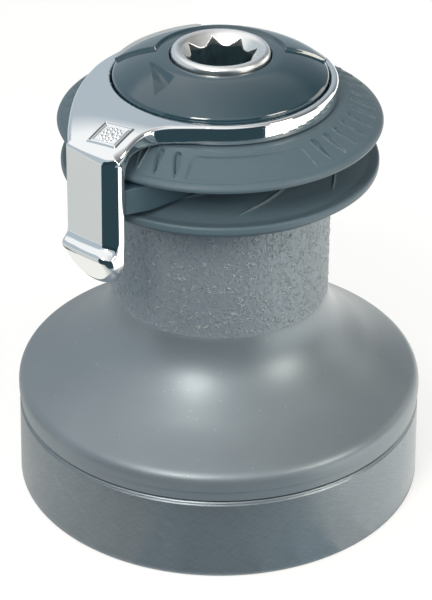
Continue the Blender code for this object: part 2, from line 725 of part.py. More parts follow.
def make_spindle():
    top = SPINDLE_TOP
    profile = [
        (14.0, top), (15.5, top - 0.5), (SPINDLE_HEAD_R, top - 1.9), (SPINDLE_HEAD_R, 152.2),
        (SPINDLE_BODY_R, 152.2), (SPINDLE_BODY_R, 128.0), (SPINDLE_SHAFT_R, 124.0), (SPINDLE_SHAFT_R, 19.0),
        (SPINDLE_FOOT_R, 19.0), (SPINDLE_FOOT_R, 1.0), (0.0, 1.0), (0.0, top),
    ]
    spindle = turned("main_spindle", profile, STAINLESS, 32)
    socket = plate("socket", [socket_outline()], SOCKET_FLOOR, top + 2, None, CUTTERS)
    mouth = [(14.0, top + 1), (13.3, top), (11.2, top - 2.4), (0.0, top - 2.4), (0.0, top + 1)]
    entry = turned("socket_entry", mouth, None, 32, CUTTERS)
    combine(spindle, [socket, entry], "DIFFERENCE")
    bottom, top = MIDDLE_GEARS
    make_pawls("spindle", SPINDLE_SEATS, bottom + 0.6, top - 0.6, spindle, PAWL_FOLD)


def toothed(name, teeth, first_tooth, at, hole, bottom, top):
    """A gear with a hole, and its origin on its own axis."""
    gear = plate(name, [gear_outline(teeth, first_tooth, at), hole], bottom, top, GEAR_STEEL)
    set_origin(gear, (*at, 0))
    return gear


def make_second_speed(lay_at):
    """The spindle's pinion, the lay gear that it turns, and the lay pinion that the pawls join to that."""
    bottom, top = LOW_GEARS
    foot_hole = circle(SPINDLE_FOOT_R + 0.15, 24)
    toothed("spindle_pinion", SPINDLE_TEETH, 0, (0, 0), foot_hole, bottom - 0.8, top + 0.8)
    ring("spindle_circlip", 10.4, SPINDLE_FOOT_R + 0.2, top + 1.0, top + 2.0, STAINLESS, 24)

    first_tooth = meshed_outside(0, 0, SPINDLE_TEETH, LAY_TEETH)
    face = LAY_SEATS[0].nose_angle() + RATCHET_CLEARANCE
    ratchet = ratchet_outline(LAY_RATCHET_R, face, 1, lay_at)
    toothed("lay_gear", LAY_TEETH, first_tooth, lay_at, ratchet, bottom, top)

    pin_hole = circle(LAY_PIN_R + 0.15, 16, lay_at)
    first_tooth = meshed_inside(0, 0, LAY_PINION_TEETH)
    high_bottom, high_top = HIGH_GEARS
    outline = gear_outline(LAY_PINION_TEETH, first_tooth, lay_at)
    pinion = plate("lay_pinion", [outline, pin_hole], high_bottom, high_top, GEAR_STEEL)
    hub = plate("lay_hub", [circle(7.8, 24, lay_at), pin_hole], top - 0.5, high_bottom + 1, None, CUTTERS)
    disc = circle(LAY_RATCHET_R - 0.35, 32, lay_at)
    carrier = plate("lay_carrier", [disc, pin_hole], bottom, top + 0.4, None, CUTTERS)
    for piece in (hub, carrier):
        combine(pinion, [piece], "UNION")
    make_pawls("lay", LAY_SEATS, bottom + 0.7, top - 0.7, pinion, 0)
    set_origin(pinion, (*lay_at, 0))


def make_first_speed(a_at, b_at):
    """The ratchet gear round the spindle and the two idlers that carry its turn out to the ring gear."""
    bottom, top = MIDDLE_GEARS
    b_angle = atan2(b_at[1], b_at[0])
    a_to_b = atan2(b_at[1] - a_at[1], b_at[0] - a_at[0])
    b_tooth = meshed_inside(b_angle, 0, IDLER_TEETH)
    a_tooth = meshed_outside(a_to_b + pi, b_tooth, IDLER_TEETH, IDLER_TEETH)
    first_tooth = meshed_outside(IDLER_A_ANGLE + pi, a_tooth, IDLER_TEETH, FIRST_SPEED_TEETH)
    hole_r = IDLER_PIN_R + 0.15
    toothed("idler_gear_a", IDLER_TEETH, a_tooth, a_at, circle(hole_r, 12, a_at), bottom, top)
    toothed("idler_gear_b", IDLER_TEETH, b_tooth, b_at, circle(hole_r, 12, b_at), bottom, HIGH_GEARS[1])
    face = SPINDLE_SEATS[0].nose_angle() - RATCHET_CLEARANCE
    ratchet = ratchet_outline(SPINDLE_SHAFT_R + 0.3, face, -1)
    toothed("first_speed_gear", FIRST_SPEED_TEETH, first_tooth, (0, 0), ratchet, bottom, top)


def make_gears():
    ring_outline = gear_outline(RING_TEETH, 0, internal=True)
    plate("ring_gear", [circle(48.0, ROUND), ring_outline], DRUM_BOTTOM + 0.5, HIGH_GEARS[1], BRONZE)
    (_, _, lay_at), (_, _, a_at), (_, _, b_at) = pin_places()
    make_second_speed(lay_at)
    make_first_speed(a_at, b_at)


# ---------------------------------------------------------------- build

make_base()
make_stem()
make_stem_screws()
make_pins()
make_bushes()
make_bearings()
make_drum()
make_lower_jaw()
make_upper_jaw()
make_jaw_screws()
make_jaw_springs()
make_arm()
make_arm_fixings()
make_stripper()
make_cap()
make_spindle()
make_gears()
for part in PARTS.objects:
    smooth(part)
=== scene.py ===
"""The looks of a two-speed self-tailing sheet winch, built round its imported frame.

Lengths in the piece functions are millimetres and go to metres as each mesh is made. An azimuth is measured
from the front, -Y, towards +X.
"""

import json
from math import acos, atan2, cos, pi, radians, sin, tan, tau

import bpy
import numpy as np
from mathutils import Matrix, Vector
from mathutils.geometry import convex_hull_2d


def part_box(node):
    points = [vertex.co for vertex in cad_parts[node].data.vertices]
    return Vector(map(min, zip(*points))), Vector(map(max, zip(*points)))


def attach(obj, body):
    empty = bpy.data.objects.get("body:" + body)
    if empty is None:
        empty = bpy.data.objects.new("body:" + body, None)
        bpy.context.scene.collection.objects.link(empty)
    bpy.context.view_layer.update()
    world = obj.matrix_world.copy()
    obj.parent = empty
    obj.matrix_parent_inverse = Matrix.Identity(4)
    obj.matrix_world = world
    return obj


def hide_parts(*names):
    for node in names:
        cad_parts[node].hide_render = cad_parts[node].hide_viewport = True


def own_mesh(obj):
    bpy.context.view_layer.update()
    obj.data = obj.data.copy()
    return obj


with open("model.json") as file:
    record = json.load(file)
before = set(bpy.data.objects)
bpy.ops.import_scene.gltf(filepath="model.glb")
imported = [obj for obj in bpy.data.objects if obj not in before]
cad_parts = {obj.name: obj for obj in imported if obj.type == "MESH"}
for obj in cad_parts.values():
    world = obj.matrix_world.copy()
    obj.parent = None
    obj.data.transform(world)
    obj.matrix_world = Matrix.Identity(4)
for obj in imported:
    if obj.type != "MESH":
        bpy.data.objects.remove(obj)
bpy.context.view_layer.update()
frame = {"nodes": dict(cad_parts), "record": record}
MM = 0.001


def reach(node):
    """A turned node's outer radius, bottom and top, in millimetres."""
    low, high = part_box(node)
    return high.x / MM, low.z / MM, high.z / MM


BASE_R, _, BASE_TOP = reach("base_housing")
DRUM_R, DRUM_BOTTOM, NECK_TOP = reach("drum")
LOWER_JAW_R, LOWER_JAW_BOTTOM, LOWER_JAW_TOP = reach("lower_jaw")
UPPER_JAW_R, UPPER_JAW_BOTTOM, JAW_TOP = reach("upper_jaw")
CAP_R, CAP_BOTTOM, CAP_TOP = reach("top_cap")
SPINDLE_R, SPINDLE_BOTTOM, SPINDLE_TOP = reach("main_spindle")
_, _, ARM_TOP = reach("feeder_arm")

GRIP_R, GRIP_TOP, GRIP_BOTTOM = 37.3, 117.0, 72.8
FLARE_TOP = 75.8
ARM_TURN = radians(-40)
SHARP_ANGLE = radians(40)


# ---- camera

def make_camera():
    """The photograph's view: from the front, 31 degrees above the horizon, with a long lens."""
    data = bpy.data.cameras.new("camera")
    data.lens = 131.57
    data.sensor_width = 36.0
    data.shift_x = -0.0055
    camera = add_object("camera", data)
    elevation, distance, roll = radians(31.098), 0.75979, 0.005623
    target, back = Vector((0, 0, 0.06514)), Vector((0, -cos(elevation), sin(elevation)))
    camera.location = target + back * distance
    camera.rotation_mode = "QUATERNION"
    turn = (-back).to_track_quat("-Z", "Y")
    camera.rotation_quaternion = turn @ Matrix.Rotation(roll, 3, "Z").to_quaternion()
    bpy.context.scene.camera = camera


# ---- outlines

def unit(vector):
    return vector / np.linalg.norm(vector)


def rounded(corners, longest=0.0):
    """Points round a closed outline of (x, y, fillet radius). Arc steps are at most longest, or 15 degrees."""
    points = []
    places = [np.array(corner[:2], float) for corner in corners]
    for i, (*_, fillet) in enumerate(corners):
        here, before, after = places[i], places[i - 1], places[(i + 1) % len(places)]
        if not fillet:
            points.append(here)
            continue
        u, v = unit(before - here), unit(after - here)
        half = acos(np.clip(u @ v, -1, 1)) / 2
        room = 0.49 * min(np.linalg.norm(before - here), np.linalg.norm(after - here))
        along = min(fillet / tan(half), room)
        radius = along * tan(half)
        centre = here + unit(u + v) * radius / sin(half)
        start, end = here + u * along - centre, here + v * along - centre
        first = atan2(start[1], start[0])
        sweep = (atan2(end[1], end[0]) - first + pi) % tau - pi
        step = min(radians(15), longest / radius if longest else pi)
        steps = max(2, int(abs(sweep) / step) + 1)
        for k in range(steps + 1):
            angle = first + sweep * k / steps
            points.append(centre + radius * np.array((cos(angle), sin(angle))))
    return np.array(points)


def cubic(start, start_pull, end_pull, end, steps):
    """Points along a cubic curve, without its ends."""
    t = np.linspace(0, 1, steps + 2)[1:-1, None]
    weights = ((1 - t) ** 3, 3 * (1 - t) ** 2 * t, 3 * (1 - t) * t**2, t**3)
    return sum(w * np.array(p) for w, p in zip(weights, (start, start_pull, end_pull, end)))


def smooth_line(points, spacing):
    """A smooth open line through the points, as a Catmull-Rom curve."""
    points = np.array(points, float)
    padded = np.vstack([2 * points[0] - points[1], points, 2 * points[-1] - points[-2]])
    made = []
    for a, b, c, d in zip(padded, padded[1:], padded[2:], padded[3:]):
        steps = max(2, int(np.linalg.norm(c - b) / spacing))
        t = np.linspace(0, 1, steps, endpoint=False)[:, None]
        made.append(0.5 * (2 * b + (c - a) * t + (2 * a - 5 * b + 4 * c - d) * t**2
                           + (3 * b - a - 3 * c + d) * t**3))
    return np.vstack([*made, points[-1:]])


def spaced(outline, longest, chosen):
    """The closed outline with its long edges divided, where both ends are chosen."""
    made = []
    for a, b in zip(outline, np.roll(outline, -1, axis=0)):
        parts = int(np.linalg.norm(b - a) / longest) + 1 if chosen(*a) and chosen(*b) else 1
        made += [a + (b - a) * k / parts for k in range(parts)]
    return np.array(made)


def ramp(value, start, end):
    """0 before start and 1 after end, with a smooth turn between them."""
    t = np.clip((value - start) / (end - start), 0, 1)
    return t * t * (3 - 2 * t)


# ---- meshes

def add_object(name, data):
    obj = bpy.data.objects.new(name, data)
    bpy.context.scene.collection.objects.link(obj)
    return obj


def add_mesh(name, points, faces):
    """A new object, from points in metres."""
    mesh = bpy.data.meshes.new(name)
    mesh.from_pydata(points, [], faces)
    return add_object(name, mesh)


def grid_quads(rows, columns):
    """The quads of a closed grid of points listed row by row, and the row and column where each starts."""
    i, j = np.meshgrid(np.arange(rows), np.arange(columns), indexing="ij")
    down, across = (i + 1) % rows, (j + 1) % columns
    quads = [i * columns + j, down * columns + j, down * columns + across, i * columns + across]
    return np.stack(quads, axis=-1), i, j


def finish_piece(obj, body, slot, material, *nodes):
    """Gives a piece its material and the body it moves with, and hides the nodes it stands in for."""
    obj.data.materials.clear()
    obj.data.materials.append(material)
    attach(obj, body)
    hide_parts(*nodes)


def lathe(name, outline, sides, shift=None):
    """A closed outline of (radius, height), listed down its outer side, turned about Z.

    shift(azimuth, radius, height) gives how far the surface moves out along its normal.
    """
    outline = np.array(outline, float)
    along = np.roll(outline, -1, axis=0) - np.roll(outline, 1, axis=0)
    normal = np.stack([-along[:, 1], along[:, 0]], axis=1)
    normal /= np.maximum(np.linalg.norm(normal, axis=1, keepdims=True), 1e-9)
    azimuth = (np.arange(sides) * tau / sides)[None, :]
    radius, height = outline[:, :1], outline[:, 1:]
    moved = shift(azimuth, radius, height) if shift else np.zeros((1, 1))
    r = radius + moved * normal[:, :1] + 0 * azimuth
    z = height + moved * normal[:, 1:] + 0 * azimuth
    points = np.stack([r * np.sin(azimuth), -r * np.cos(azimuth), z], axis=-1).reshape(-1, 3) * MM
    faces, i, j = grid_quads(len(outline), sides)
    obj = add_mesh(name, points, faces.reshape(-1, 4))
    lengths = np.concatenate([[0], np.cumsum(np.linalg.norm(np.diff(outline, axis=0), axis=1))])
    lengths = np.append(lengths, lengths[-1] + np.linalg.norm(outline[0] - outline[-1]))
    u = np.stack([j, j, j + 1, j + 1], axis=-1) * tau / sides * outline[:, 0].max() * MM
    v = lengths[np.stack([i, i + 1, i + 1, i], axis=-1)] * MM
    layer = obj.data.uv_layers.new(name="Turned")
    layer.data.foreach_set("uv", np.stack([u, v], axis=-1).astype(np.float32).ravel())
    obj.data.shade_smooth()
    obj.data.set_sharp_from_angle(angle=SHARP_ANGLE)
    return obj


def cut(obj, cutters):
    """Cuts other objects out of obj and removes them."""
    for cutter in cutters:
        change = obj.modifiers.new("Cut", "BOOLEAN")
        change.operation = "DIFFERENCE"
        change.solver = "EXACT"
        change.object = cutter
    bpy.context.view_layer.update()
    mesh = bpy.data.meshes.new_from_object(obj.evaluated_get(bpy.context.evaluated_depsgraph_get()))
    obj.modifiers.clear()
    obj.data = mesh
    for cutter in cutters:
        bpy.data.objects.remove(cutter)
    mesh.set_sharp_from_angle(angle=SHARP_ANGLE)


def bar(name, radius, bottom, top, at):
    """A round bar along Z, for cutting holes."""
    axis_r, sides = 0.001, 48
    obj = lathe(name, [(radius, top), (radius, bottom), (axis_r, bottom), (axis_r, top)], sides)
    obj.location = (at[0] * MM, at[1] * MM, 0)
    return obj


# ---- fields

def outline_distance(outline, x, y):
    """Distance from (x, y) to a closed outline, negative inside."""
    nearest = np.full(np.broadcast(x, y).shape, 1e9)
    inside = np.zeros(nearest.shape, bool)
    for (ax, ay), (bx, by) in zip(outline, np.roll(outline, -1, axis=0)):
        ex, ey = bx - ax, by - ay
        wx, wy = x - ax, y - ay
        t = np.clip((wx * ex + wy * ey) / (ex * ex + ey * ey), 0, 1)
        nearest = np.minimum(nearest, (wx - ex * t) ** 2 + (wy - ey * t) ** 2)
        side = ex * wy - ey * wx
        inside ^= (ay <= y) & (by > y) & (side > 0) | (ay > y) & (by <= y) & (side < 0)
    return np.where(inside, -1, 1) * np.sqrt(nearest)


def both(a, b, radius):
    """Where both fields are inside, with the edge between them rounded."""
    inner = np.minimum(np.maximum(a, b), -radius)
    return inner + np.hypot(np.maximum(a + radius, 0), np.maximum(b + radius, 0))


def slope_of(field, points, step=0.1):
    """The field's gradient at each point, measured over a short distance."""
    sides = [field(*(points + step * axis).T) - field(*(points - step * axis).T) for axis in np.eye(3)]
    return np.stack(sides, axis=1) / (2 * step)


def skin(name, field, low, high, step):
    """Quads over the surface where field(x, y, z) is 0, by surface nets, drawn onto the exact surface."""
    low, block = np.array(low, float), 4
    blocks = np.ceil((np.array(high) - low) / (step * block)).astype(int)
    places = np.indices(blocks).reshape(3, -1).T * block
    rough = field(*(low + step * (places + (block - 1) / 2)).T)
    value = rough.reshape(blocks)
    for axis in range(3):
        value = value.repeat(block, axis)
    close = places[np.abs(rough) < 1.2 * block * step]
    fine = (close[:, None, :] + np.indices((block,) * 3).reshape(3, -1).T).reshape(-1, 3)
    value[tuple(fine.T)] = field(*(low + step * fine).T)
    inside = value < 0
    corners = [(i, j, k) for i in (0, 1) for j in (0, 1) for k in (0, 1)]
    size = [n - 1 for n in inside.shape]
    filled = sum(inside[i:i + size[0], j:j + size[1], k:k + size[2]].astype(np.int8) for i, j, k in corners)
    cells = np.argwhere((filled > 0) & (filled < 8))
    index = np.full(size, -1)
    index[tuple(cells.T)] = np.arange(len(cells))
    total, hits = np.zeros((len(cells), 3)), np.zeros((len(cells), 1))
    for a in corners:
        for axis in range(3):
            if a[axis]:
                continue
            b = tuple(1 if n == axis else a[n] for n in range(3))
            at_a, at_b = value[tuple((cells + a).T)], value[tuple((cells + b).T)]
            crossed = (at_a < 0) != (at_b < 0)
            share = np.where(crossed, at_a / np.where(crossed, at_a - at_b, 1), 0)
            place = cells + np.array(a) + share[:, None] * (np.array(b) - a)
            total += np.where(crossed[:, None], place, 0)
            hits += crossed[:, None]
    points = low + step * total / hits
    slope = slope_of(field, points)
    slope /= np.maximum(np.linalg.norm(slope, axis=1, keepdims=True), 0.3)
    for _ in range(2):
        points -= slope * np.clip(field(*points.T), -step / 2, step / 2)[:, None]
    quads = []
    for axis in range(3):
        crossing = np.argwhere(np.diff(inside, axis=axis))
        b, c = (axis + 1) % 3, (axis + 2) % 3
        ok = (crossing[:, b] > 0) & (crossing[:, c] > 0)
        ok &= (crossing[:, b] < size[b]) & (crossing[:, c] < size[c])
        crossing = crossing[ok]
        ring = []
        for back_b, back_c in ((1, 1), (0, 1), (0, 0), (1, 0)):
            cell = crossing.copy()
            cell[:, b] -= back_b
            cell[:, c] -= back_c
            ring.append(index[tuple(cell.T)])
        quad = np.stack(ring, axis=1)
        outwards = inside[tuple(crossing.T)]
        quads.append(np.where(outwards[:, None], quad, quad[:, ::-1]))
    obj = add_mesh(name, points * MM, np.vstack(quads))
    obj.data.shade_smooth()
    obj.data.normals_split_custom_set_from_vertices(slope)
    return obj


# ---- materials

class Nodes:
    """The nodes of a material or a world."""

    def __init__(self, owner):
        owner.use_nodes = True
        self.nodes, self.link = owner.node_tree.nodes, owner.node_tree.links.new

    def set(self, node, values):
        for key, value in values.items():
            node.inputs[key].default_value = value

    def add(self, kind, links=None, **values):
        """A node with some inputs linked and some set."""
        node = self.nodes.new(kind)
        self.set(node, values)
        for key, source in (links or {}).items():
            self.link(source, node.inputs[key])
        return node


MIX_FACTOR, MIX_BASE, MIX_OTHER, MIX_RESULT = 0, 6, 7, 2


class Finish(Nodes):
    """A Principled material and the patterns that drive it. Object coordinates are metres in the row frame."""

    def __init__(self, name, colour, roughness, metallic=0.0, **sockets):
        self.material = bpy.data.materials.new(name)
        super().__init__(self.material)
        self.shader = self.nodes["Principled BSDF"]
        self.set(self.shader, {"Base Color": (*colour, 1), "Roughness": roughness, "Metallic": metallic,
                               **sockets})
        self.base = colour
        self.normal = None

    def place(self, source="Object", scale=(1, 1, 1), turn=0.0):
        coordinates = self.add("ShaderNodeTexCoord")
        turned = self.add("ShaderNodeMapping", {"Vector": coordinates.outputs[source]}, Rotation=(0, 0, turn))
        return self.add("ShaderNodeMapping", {"Vector": turned.outputs[0]}, Scale=scale).outputs[0]

    def noise(self, place, scale, detail=3.0, roughness=0.55):
        node = self.add("ShaderNodeTexNoise", {"Vector": place}, Scale=scale, Detail=detail,
                        Roughness=roughness)
        return node.outputs["Fac"]

    def range(self, value, start, end, low=0.0, high=1.0):
        """The value's stretch from start to end, as low to high."""
        sockets = {"From Min": start, "From Max": end, "To Min": low, "To Max": high}
        return self.add("ShaderNodeMapRange", {"Value": value}, **sockets).outputs[0]

    def join(self, a, b, operation):
        node = self.add("ShaderNodeMath", {0: a, 1: b})
        node.operation = operation
        return node.outputs[0]

    def tint(self, value, other):
        """Mixes the base colour towards another as value goes from 0 to 1."""
        node = self.add("ShaderNodeMix")
        node.data_type = "RGBA"
        self.set(node, {MIX_BASE: (*self.base, 1), MIX_OTHER: (*other, 1)})
        held = self.shader.inputs["Base Color"]
        if held.is_linked:
            self.link(held.links[0].from_socket, node.inputs[MIX_BASE])
        self.link(value, node.inputs[MIX_FACTOR])
        self.link(node.outputs[MIX_RESULT], held)

    def roughen(self, value):
        self.link(value, self.shader.inputs["Roughness"])

    def bump(self, value, depth, strength=1.0):
        """Adds relief whose full height is depth, in millimetres."""
        node = self.add("ShaderNodeBump", {"Height": value}, Strength=strength, Distance=depth * MM)
        if self.normal:
            self.link(self.normal, node.inputs["Normal"])
        self.normal = node.outputs[0]
        self.link(self.normal, self.shader.inputs["Normal"])


def anodised(name, colour, roughness, metallic):
    """Blasted and hard anodised aluminium: a fine satin grain, cloudy patches and a few bright specks."""
    made = Finish(name, colour, roughness, metallic)
    place = made.place()
    cloud = made.noise(place, 45, 4)
    made.tint(made.range(cloud, 0.3, 0.7, 0, 0.6), tuple(c * 1.14 for c in colour))
    grain = made.noise(place, 3200, 2, 0.7)
    made.tint(made.range(grain, 0.35, 0.75, 0, 0.35), tuple(c * 0.78 for c in colour))
    specks = made.add("ShaderNodeTexVoronoi", {"Vector": place}, Scale=260.0)
    made.tint(made.range(specks.outputs["Distance"], 0.07, 0.03, 0, 0.4), (0.62, 0.64, 0.62))
    made.roughen(made.range(made.join(cloud, grain, "ADD"), 0.6, 1.4, roughness - 0.03, roughness + 0.05))
    made.bump(grain, 0.03, 0.35)
    return made


def moulded(name, colour):
    """Moulded jaw plastic: matt, with a fine grain and faint clouds."""
    made = Finish(name, colour, 0.46)
    place = made.place()
    made.tint(made.range(made.noise(place, 90, 4), 0.3, 0.7, 0, 0.5), tuple(c * 1.14 for c in colour))
    grain = made.noise(place, 2600, 3, 0.7)
    made.tint(made.range(grain, 0.55, 0.8, 0, 0.4), tuple(c * 1.6 for c in colour))
    made.roughen(made.range(grain, 0.3, 0.7, 0.42, 0.56))
    made.bump(grain, 0.05, 0.5)
    return made


def turned_steel(name):
    """Turned stainless steel, with fine rings and a soft shine."""
    steel = Finish(name, (0.93, 0.94, 0.93), 0.32, 1.0)
    fine = steel.noise(steel.place(scale=(1, 1, 14)), 420, 4)
    steel.tint(steel.range(fine, 0.35, 0.65, 0, 0.5), (0.86, 0.87, 0.87))
    steel.roughen(steel.range(steel.noise(steel.place(), 500, 4), 0.3, 0.7, 0.27, 0.37))
    steel.bump(fine, 0.02, 0.35)
    return steel


def worn(name, colour, roughness, metallic, stain, gloss, relief, stretch=1, **sockets):
    """A finish with stained patches, uneven gloss and fine relief, each from its own noise.

    stain is (scale, detail, start, end, amount, colour), gloss is (scale, detail, start, end, lowest,
    highest roughness) and relief is (scale, detail, depth in millimetres, strength). stretch squeezes them
    all along Z.
    """
    made = Finish(name, colour, roughness, metallic, **sockets)
    place = made.place(scale=(1, 1, stretch))
    *noise, start, end, amount, other = stain
    made.tint(made.range(made.noise(place, *noise), start, end, 0, amount), other)
    *noise, start, end, lowest, highest = gloss
    made.roughen(made.range(made.noise(place, *noise), start, end, lowest, highest))
    *noise, depth, strength = relief
    made.bump(made.noise(place, *noise), depth, strength)
    return made


def make_materials():
    """Every finish: one for each of the record's slots, by the slot's name, and four more."""
    grey = (0.207, 0.240, 0.262)
    drum = anodised("anodised_satin", grey, 0.41, 0.5)
    turned = drum.noise(drum.place(scale=(1, 1, 60)), 25, 3)
    drum.bump(turned, 0.02, 0.25)

    grip = anodised("anodised_peened", tuple(c * 1.12 for c in grey), 0.52, 0.35)
    place = grip.place()
    rise, fall = (grip.range(grip.noise(place, 620, 1), start, 0.5) for start in (0.44, 0.56))
    broken = grip.range(grip.noise(place, 420, 2), 0.46, 0.55)
    strokes = grip.join(grip.join(rise, fall, "MULTIPLY"), broken, "MULTIPLY")
    grip.bump(strokes, 0.3, 1.0)
    # Painted shade: dark flecks from their own noise stand in for the shaded sides of the peened strokes.
    grip.tint(grip.range(grip.noise(place, 1100, 2), 0.42, 0.3, 0, 0.6), (0.13, 0.155, 0.17))
    # Painted highlight: the raised strokes are lightened as painted glints on the peening.
    grip.tint(grip.range(strokes, 0.35, 0.9, 0, 0.85), (0.47, 0.50, 0.51))
    grip.bump(grip.noise(place, 2400, 3, 0.7), 0.05, 0.7)

    base = anodised("anodised_brushed", grey, 0.38, 0.72)
    for turn, strength in ((0.62, 0.6), (-0.5, 0.25)):
        brushed = base.noise(base.place("UV", (1, 11, 1), turn), 150, 4, 0.65)
        base.bump(brushed, 0.05, strength)
        base.tint(base.range(brushed, 0.5, 0.72, 0, 0.38), tuple(c * 1.35 for c in grey))
        base.tint(base.range(brushed, 0.48, 0.3, 0, 0.3), tuple(c * 0.72 for c in grey))

    jaw = moulded("jaw_plastic", (0.072, 0.111, 0.132))
    # The stripper's plastic is the jaw plastic made darker: partly its own darker plastic, partly painted
    # shade for the wedge sitting deep in the gap between the jaws.
    wedge = moulded("stripper_plastic_painted_shade", (0.034, 0.070, 0.092))

    cap = worn("cap_gloss", (0.018, 0.044, 0.058), 0.14, 0.0, (60, 3, 0.3, 0.7, 0.5, (0.022, 0.050, 0.066)),
               (220, 5, 0.3, 0.75, 0.10, 0.20), (900, 2, 0.01, 0.2),
               **{"Coat Weight": 1.0, "Coat Roughness": 0.04, "Coat IOR": 1.55,
                  "Coat Tint": (0.9, 0.97, 1.0, 1)})
    chrome = worn("chrome_plate", (0.90, 0.92, 0.93), 0.05, 1.0, (30, 2, 0.35, 0.65, 0.5, (0.86, 0.89, 0.91)),
                  (350, 5, 0.35, 0.8, 0.035, 0.10), (110, 2, 0.02, 0.25))

    steel, socket = turned_steel("stainless_turned"), turned_steel("stainless_socket_painted_shade")
    # Painted shade: the socket's steel darkens to teal grey below the spindle's top, standing in for the
    # shadow down inside the hole.
    height = socket.add("ShaderNodeSeparateXYZ", {"Vector": socket.place()}).outputs["Z"]
    painted_shade_start, painted_shade_full = (SPINDLE_TOP - 3.6) * MM, (SPINDLE_TOP - 4.4) * MM
    socket.tint(socket.range(height, painted_shade_start, painted_shade_full, 0, 0.9), (0.28, 0.42, 0.47))

    gear = worn("gear_steel_oiled", (0.36, 0.365, 0.37), 0.32, 1.0,
                (150, 5, 0.4, 0.7, 0.7, (0.22, 0.19, 0.15)), (700, 3, 0.3, 0.7, 0.24, 0.42),
                (900, 3, 0.03, 0.4), stretch=8)
    bronze = worn("aluminium_bronze", (0.58, 0.41, 0.19), 0.33, 1.0,
                  (130, 5, 0.35, 0.7, 0.7, (0.38, 0.25, 0.12)), (600, 3, 0.3, 0.7, 0.25, 0.45),
                  (1200, 3, 0.03, 0.4))
    acetal = worn("acetal_natural", (0.74, 0.73, 0.69), 0.42, 0.0, (80, 4, 0.4, 0.7, 0.6, (0.62, 0.59, 0.52)),
                  (500, 3, 0.3, 0.7, 0.35, 0.5), (1500, 2, 0.03, 0.3))
    rubber = worn("seal_rubber_black", (0.022, 0.024, 0.025), 0.62, 0.0,
                  (400, 4, 0.45, 0.7, 0.6, (0.05, 0.052, 0.053)), (900, 3, 0.3, 0.7, 0.5, 0.75),
                  (2500, 3, 0.04, 0.5))
    casting = worn("stem_cast", (0.40, 0.41, 0.42), 0.5, 0.85, (200, 5, 0.35, 0.7, 0.6, (0.28, 0.29, 0.3)),
                   (900, 3, 0.3, 0.7, 0.4, 0.62), (1800, 4, 0.08, 0.6))

    made = {
        "anodised_grey": drum, "stem_casting": casting, "jaw_grey": jaw, "chrome": chrome, "stainless": steel,
        "cap_slate": cap, "bronze": bronze, "gear_steel": gear, "acetal": acetal, "seal_rubber": rubber,
        "grip": grip, "base": base, "stripper": wedge, "socket": socket,
    }
    return {name: finish.material for name, finish in made.items()}


# ---- base and drum

def make_base(material):
    """The fixed base: a wall with a double bevel at its top, and a floor with holes for bolts and screws."""
    top_r = BASE_R - 0.7
    inner, hub_r, floor_top = top_r - 4.2, 13.4, 5.0
    outline = rounded([
        (inner, BASE_TOP, 0.3), (top_r - 0.75, BASE_TOP, 0.12), (top_r - 0.35, BASE_TOP - 0.4, 0.08),
        (top_r - 0.4, BASE_TOP - 0.75, 0.05), (top_r, BASE_TOP - 1.2, 0.15), (BASE_R, 0.5, 0.3),
        (BASE_R - 0.5, 0, 0.15), (hub_r, 0, 0.3), (hub_r, floor_top, 0.3), (inner, floor_top, 1.5),
    ])
    base = lathe("base_shell", outline, 288)
    deck_bolts = ("bolt_hole", 56.0, 3.3, -1, [90 + 72 * i for i in range(5)])
    stem_screws = ("screw_hole", 33.0, 2.1, 1.5, (50, 105, 235, 310))
    holes = []
    for name, circle_r, hole_r, bottom, angles in (deck_bolts, stem_screws):
        for i, angle in enumerate(angles):
            at = (circle_r * cos(radians(angle)), circle_r * sin(radians(angle)))
            holes.append(bar(f"{name}_{i}", hole_r, bottom, floor_top + 1, at))
    cut(base, holes)
    finish_piece(base, "fixed_frame", "anodised_grey", material, "base_housing")


def skirt_outline():
    """From the grip's lower end out over the flare and the shoulder, and down to the lip's step."""
    neck, flare_end, slope_end, lip = (GRIP_R, FLARE_TOP), (53.2, 49.6), (67.4, 40.7), (DRUM_R, 35.6)
    flare = cubic(neck, (GRIP_R, 62.0), (45.0, 56.2), flare_end, 30)
    slope = cubic(flare_end, (58.0, 45.8), (64.0, 42.6), slope_end, 12)
    shoulder = cubic(slope_end, (69.4, 39.6), (DRUM_R, 38.4), lip, 14)
    return np.vstack([[neck], flare, [flare_end], slope, [slope_end], shoulder, [lip]])


def peened(sides, heights):
    """A relief of short strokes in all directions, for the grip's rows at these heights, in millimetres."""
    random = np.random.default_rng(7)
    pitch = tau * GRIP_R / sides
    relief = np.zeros((len(heights), sides))
    low, high = min(heights), max(heights)
    stroke_count, half_window = 8500, 5
    for _ in range(stroke_count):
        column, height = random.integers(sides), random.uniform(low, high)
        turn = random.uniform(-1.4, 1.4)
        half_length, half_width = random.uniform(0.3, 0.7), random.uniform(0.12, 0.15)
        depth = random.uniform(0.09, 0.18) * random.choice((-1, 1))
        row = int(np.searchsorted(-heights, -height))
        rows = np.arange(max(row - half_window, 0), min(row + half_window + 1, len(heights)))
        columns = np.arange(column - half_window, column + half_window + 1)
        up = (heights[rows] - height)[:, None]
        across = ((columns - column) * pitch)[None, :]
        along = up * cos(turn) + across * sin(turn)
        aside = across * cos(turn) - up * sin(turn)
        end = np.maximum(np.abs(along) - half_length, 0)
        relief[np.ix_(rows, columns % sides)] += depth * np.exp(-(aside**2 + end**2) / (2 * half_width**2))
    return relief


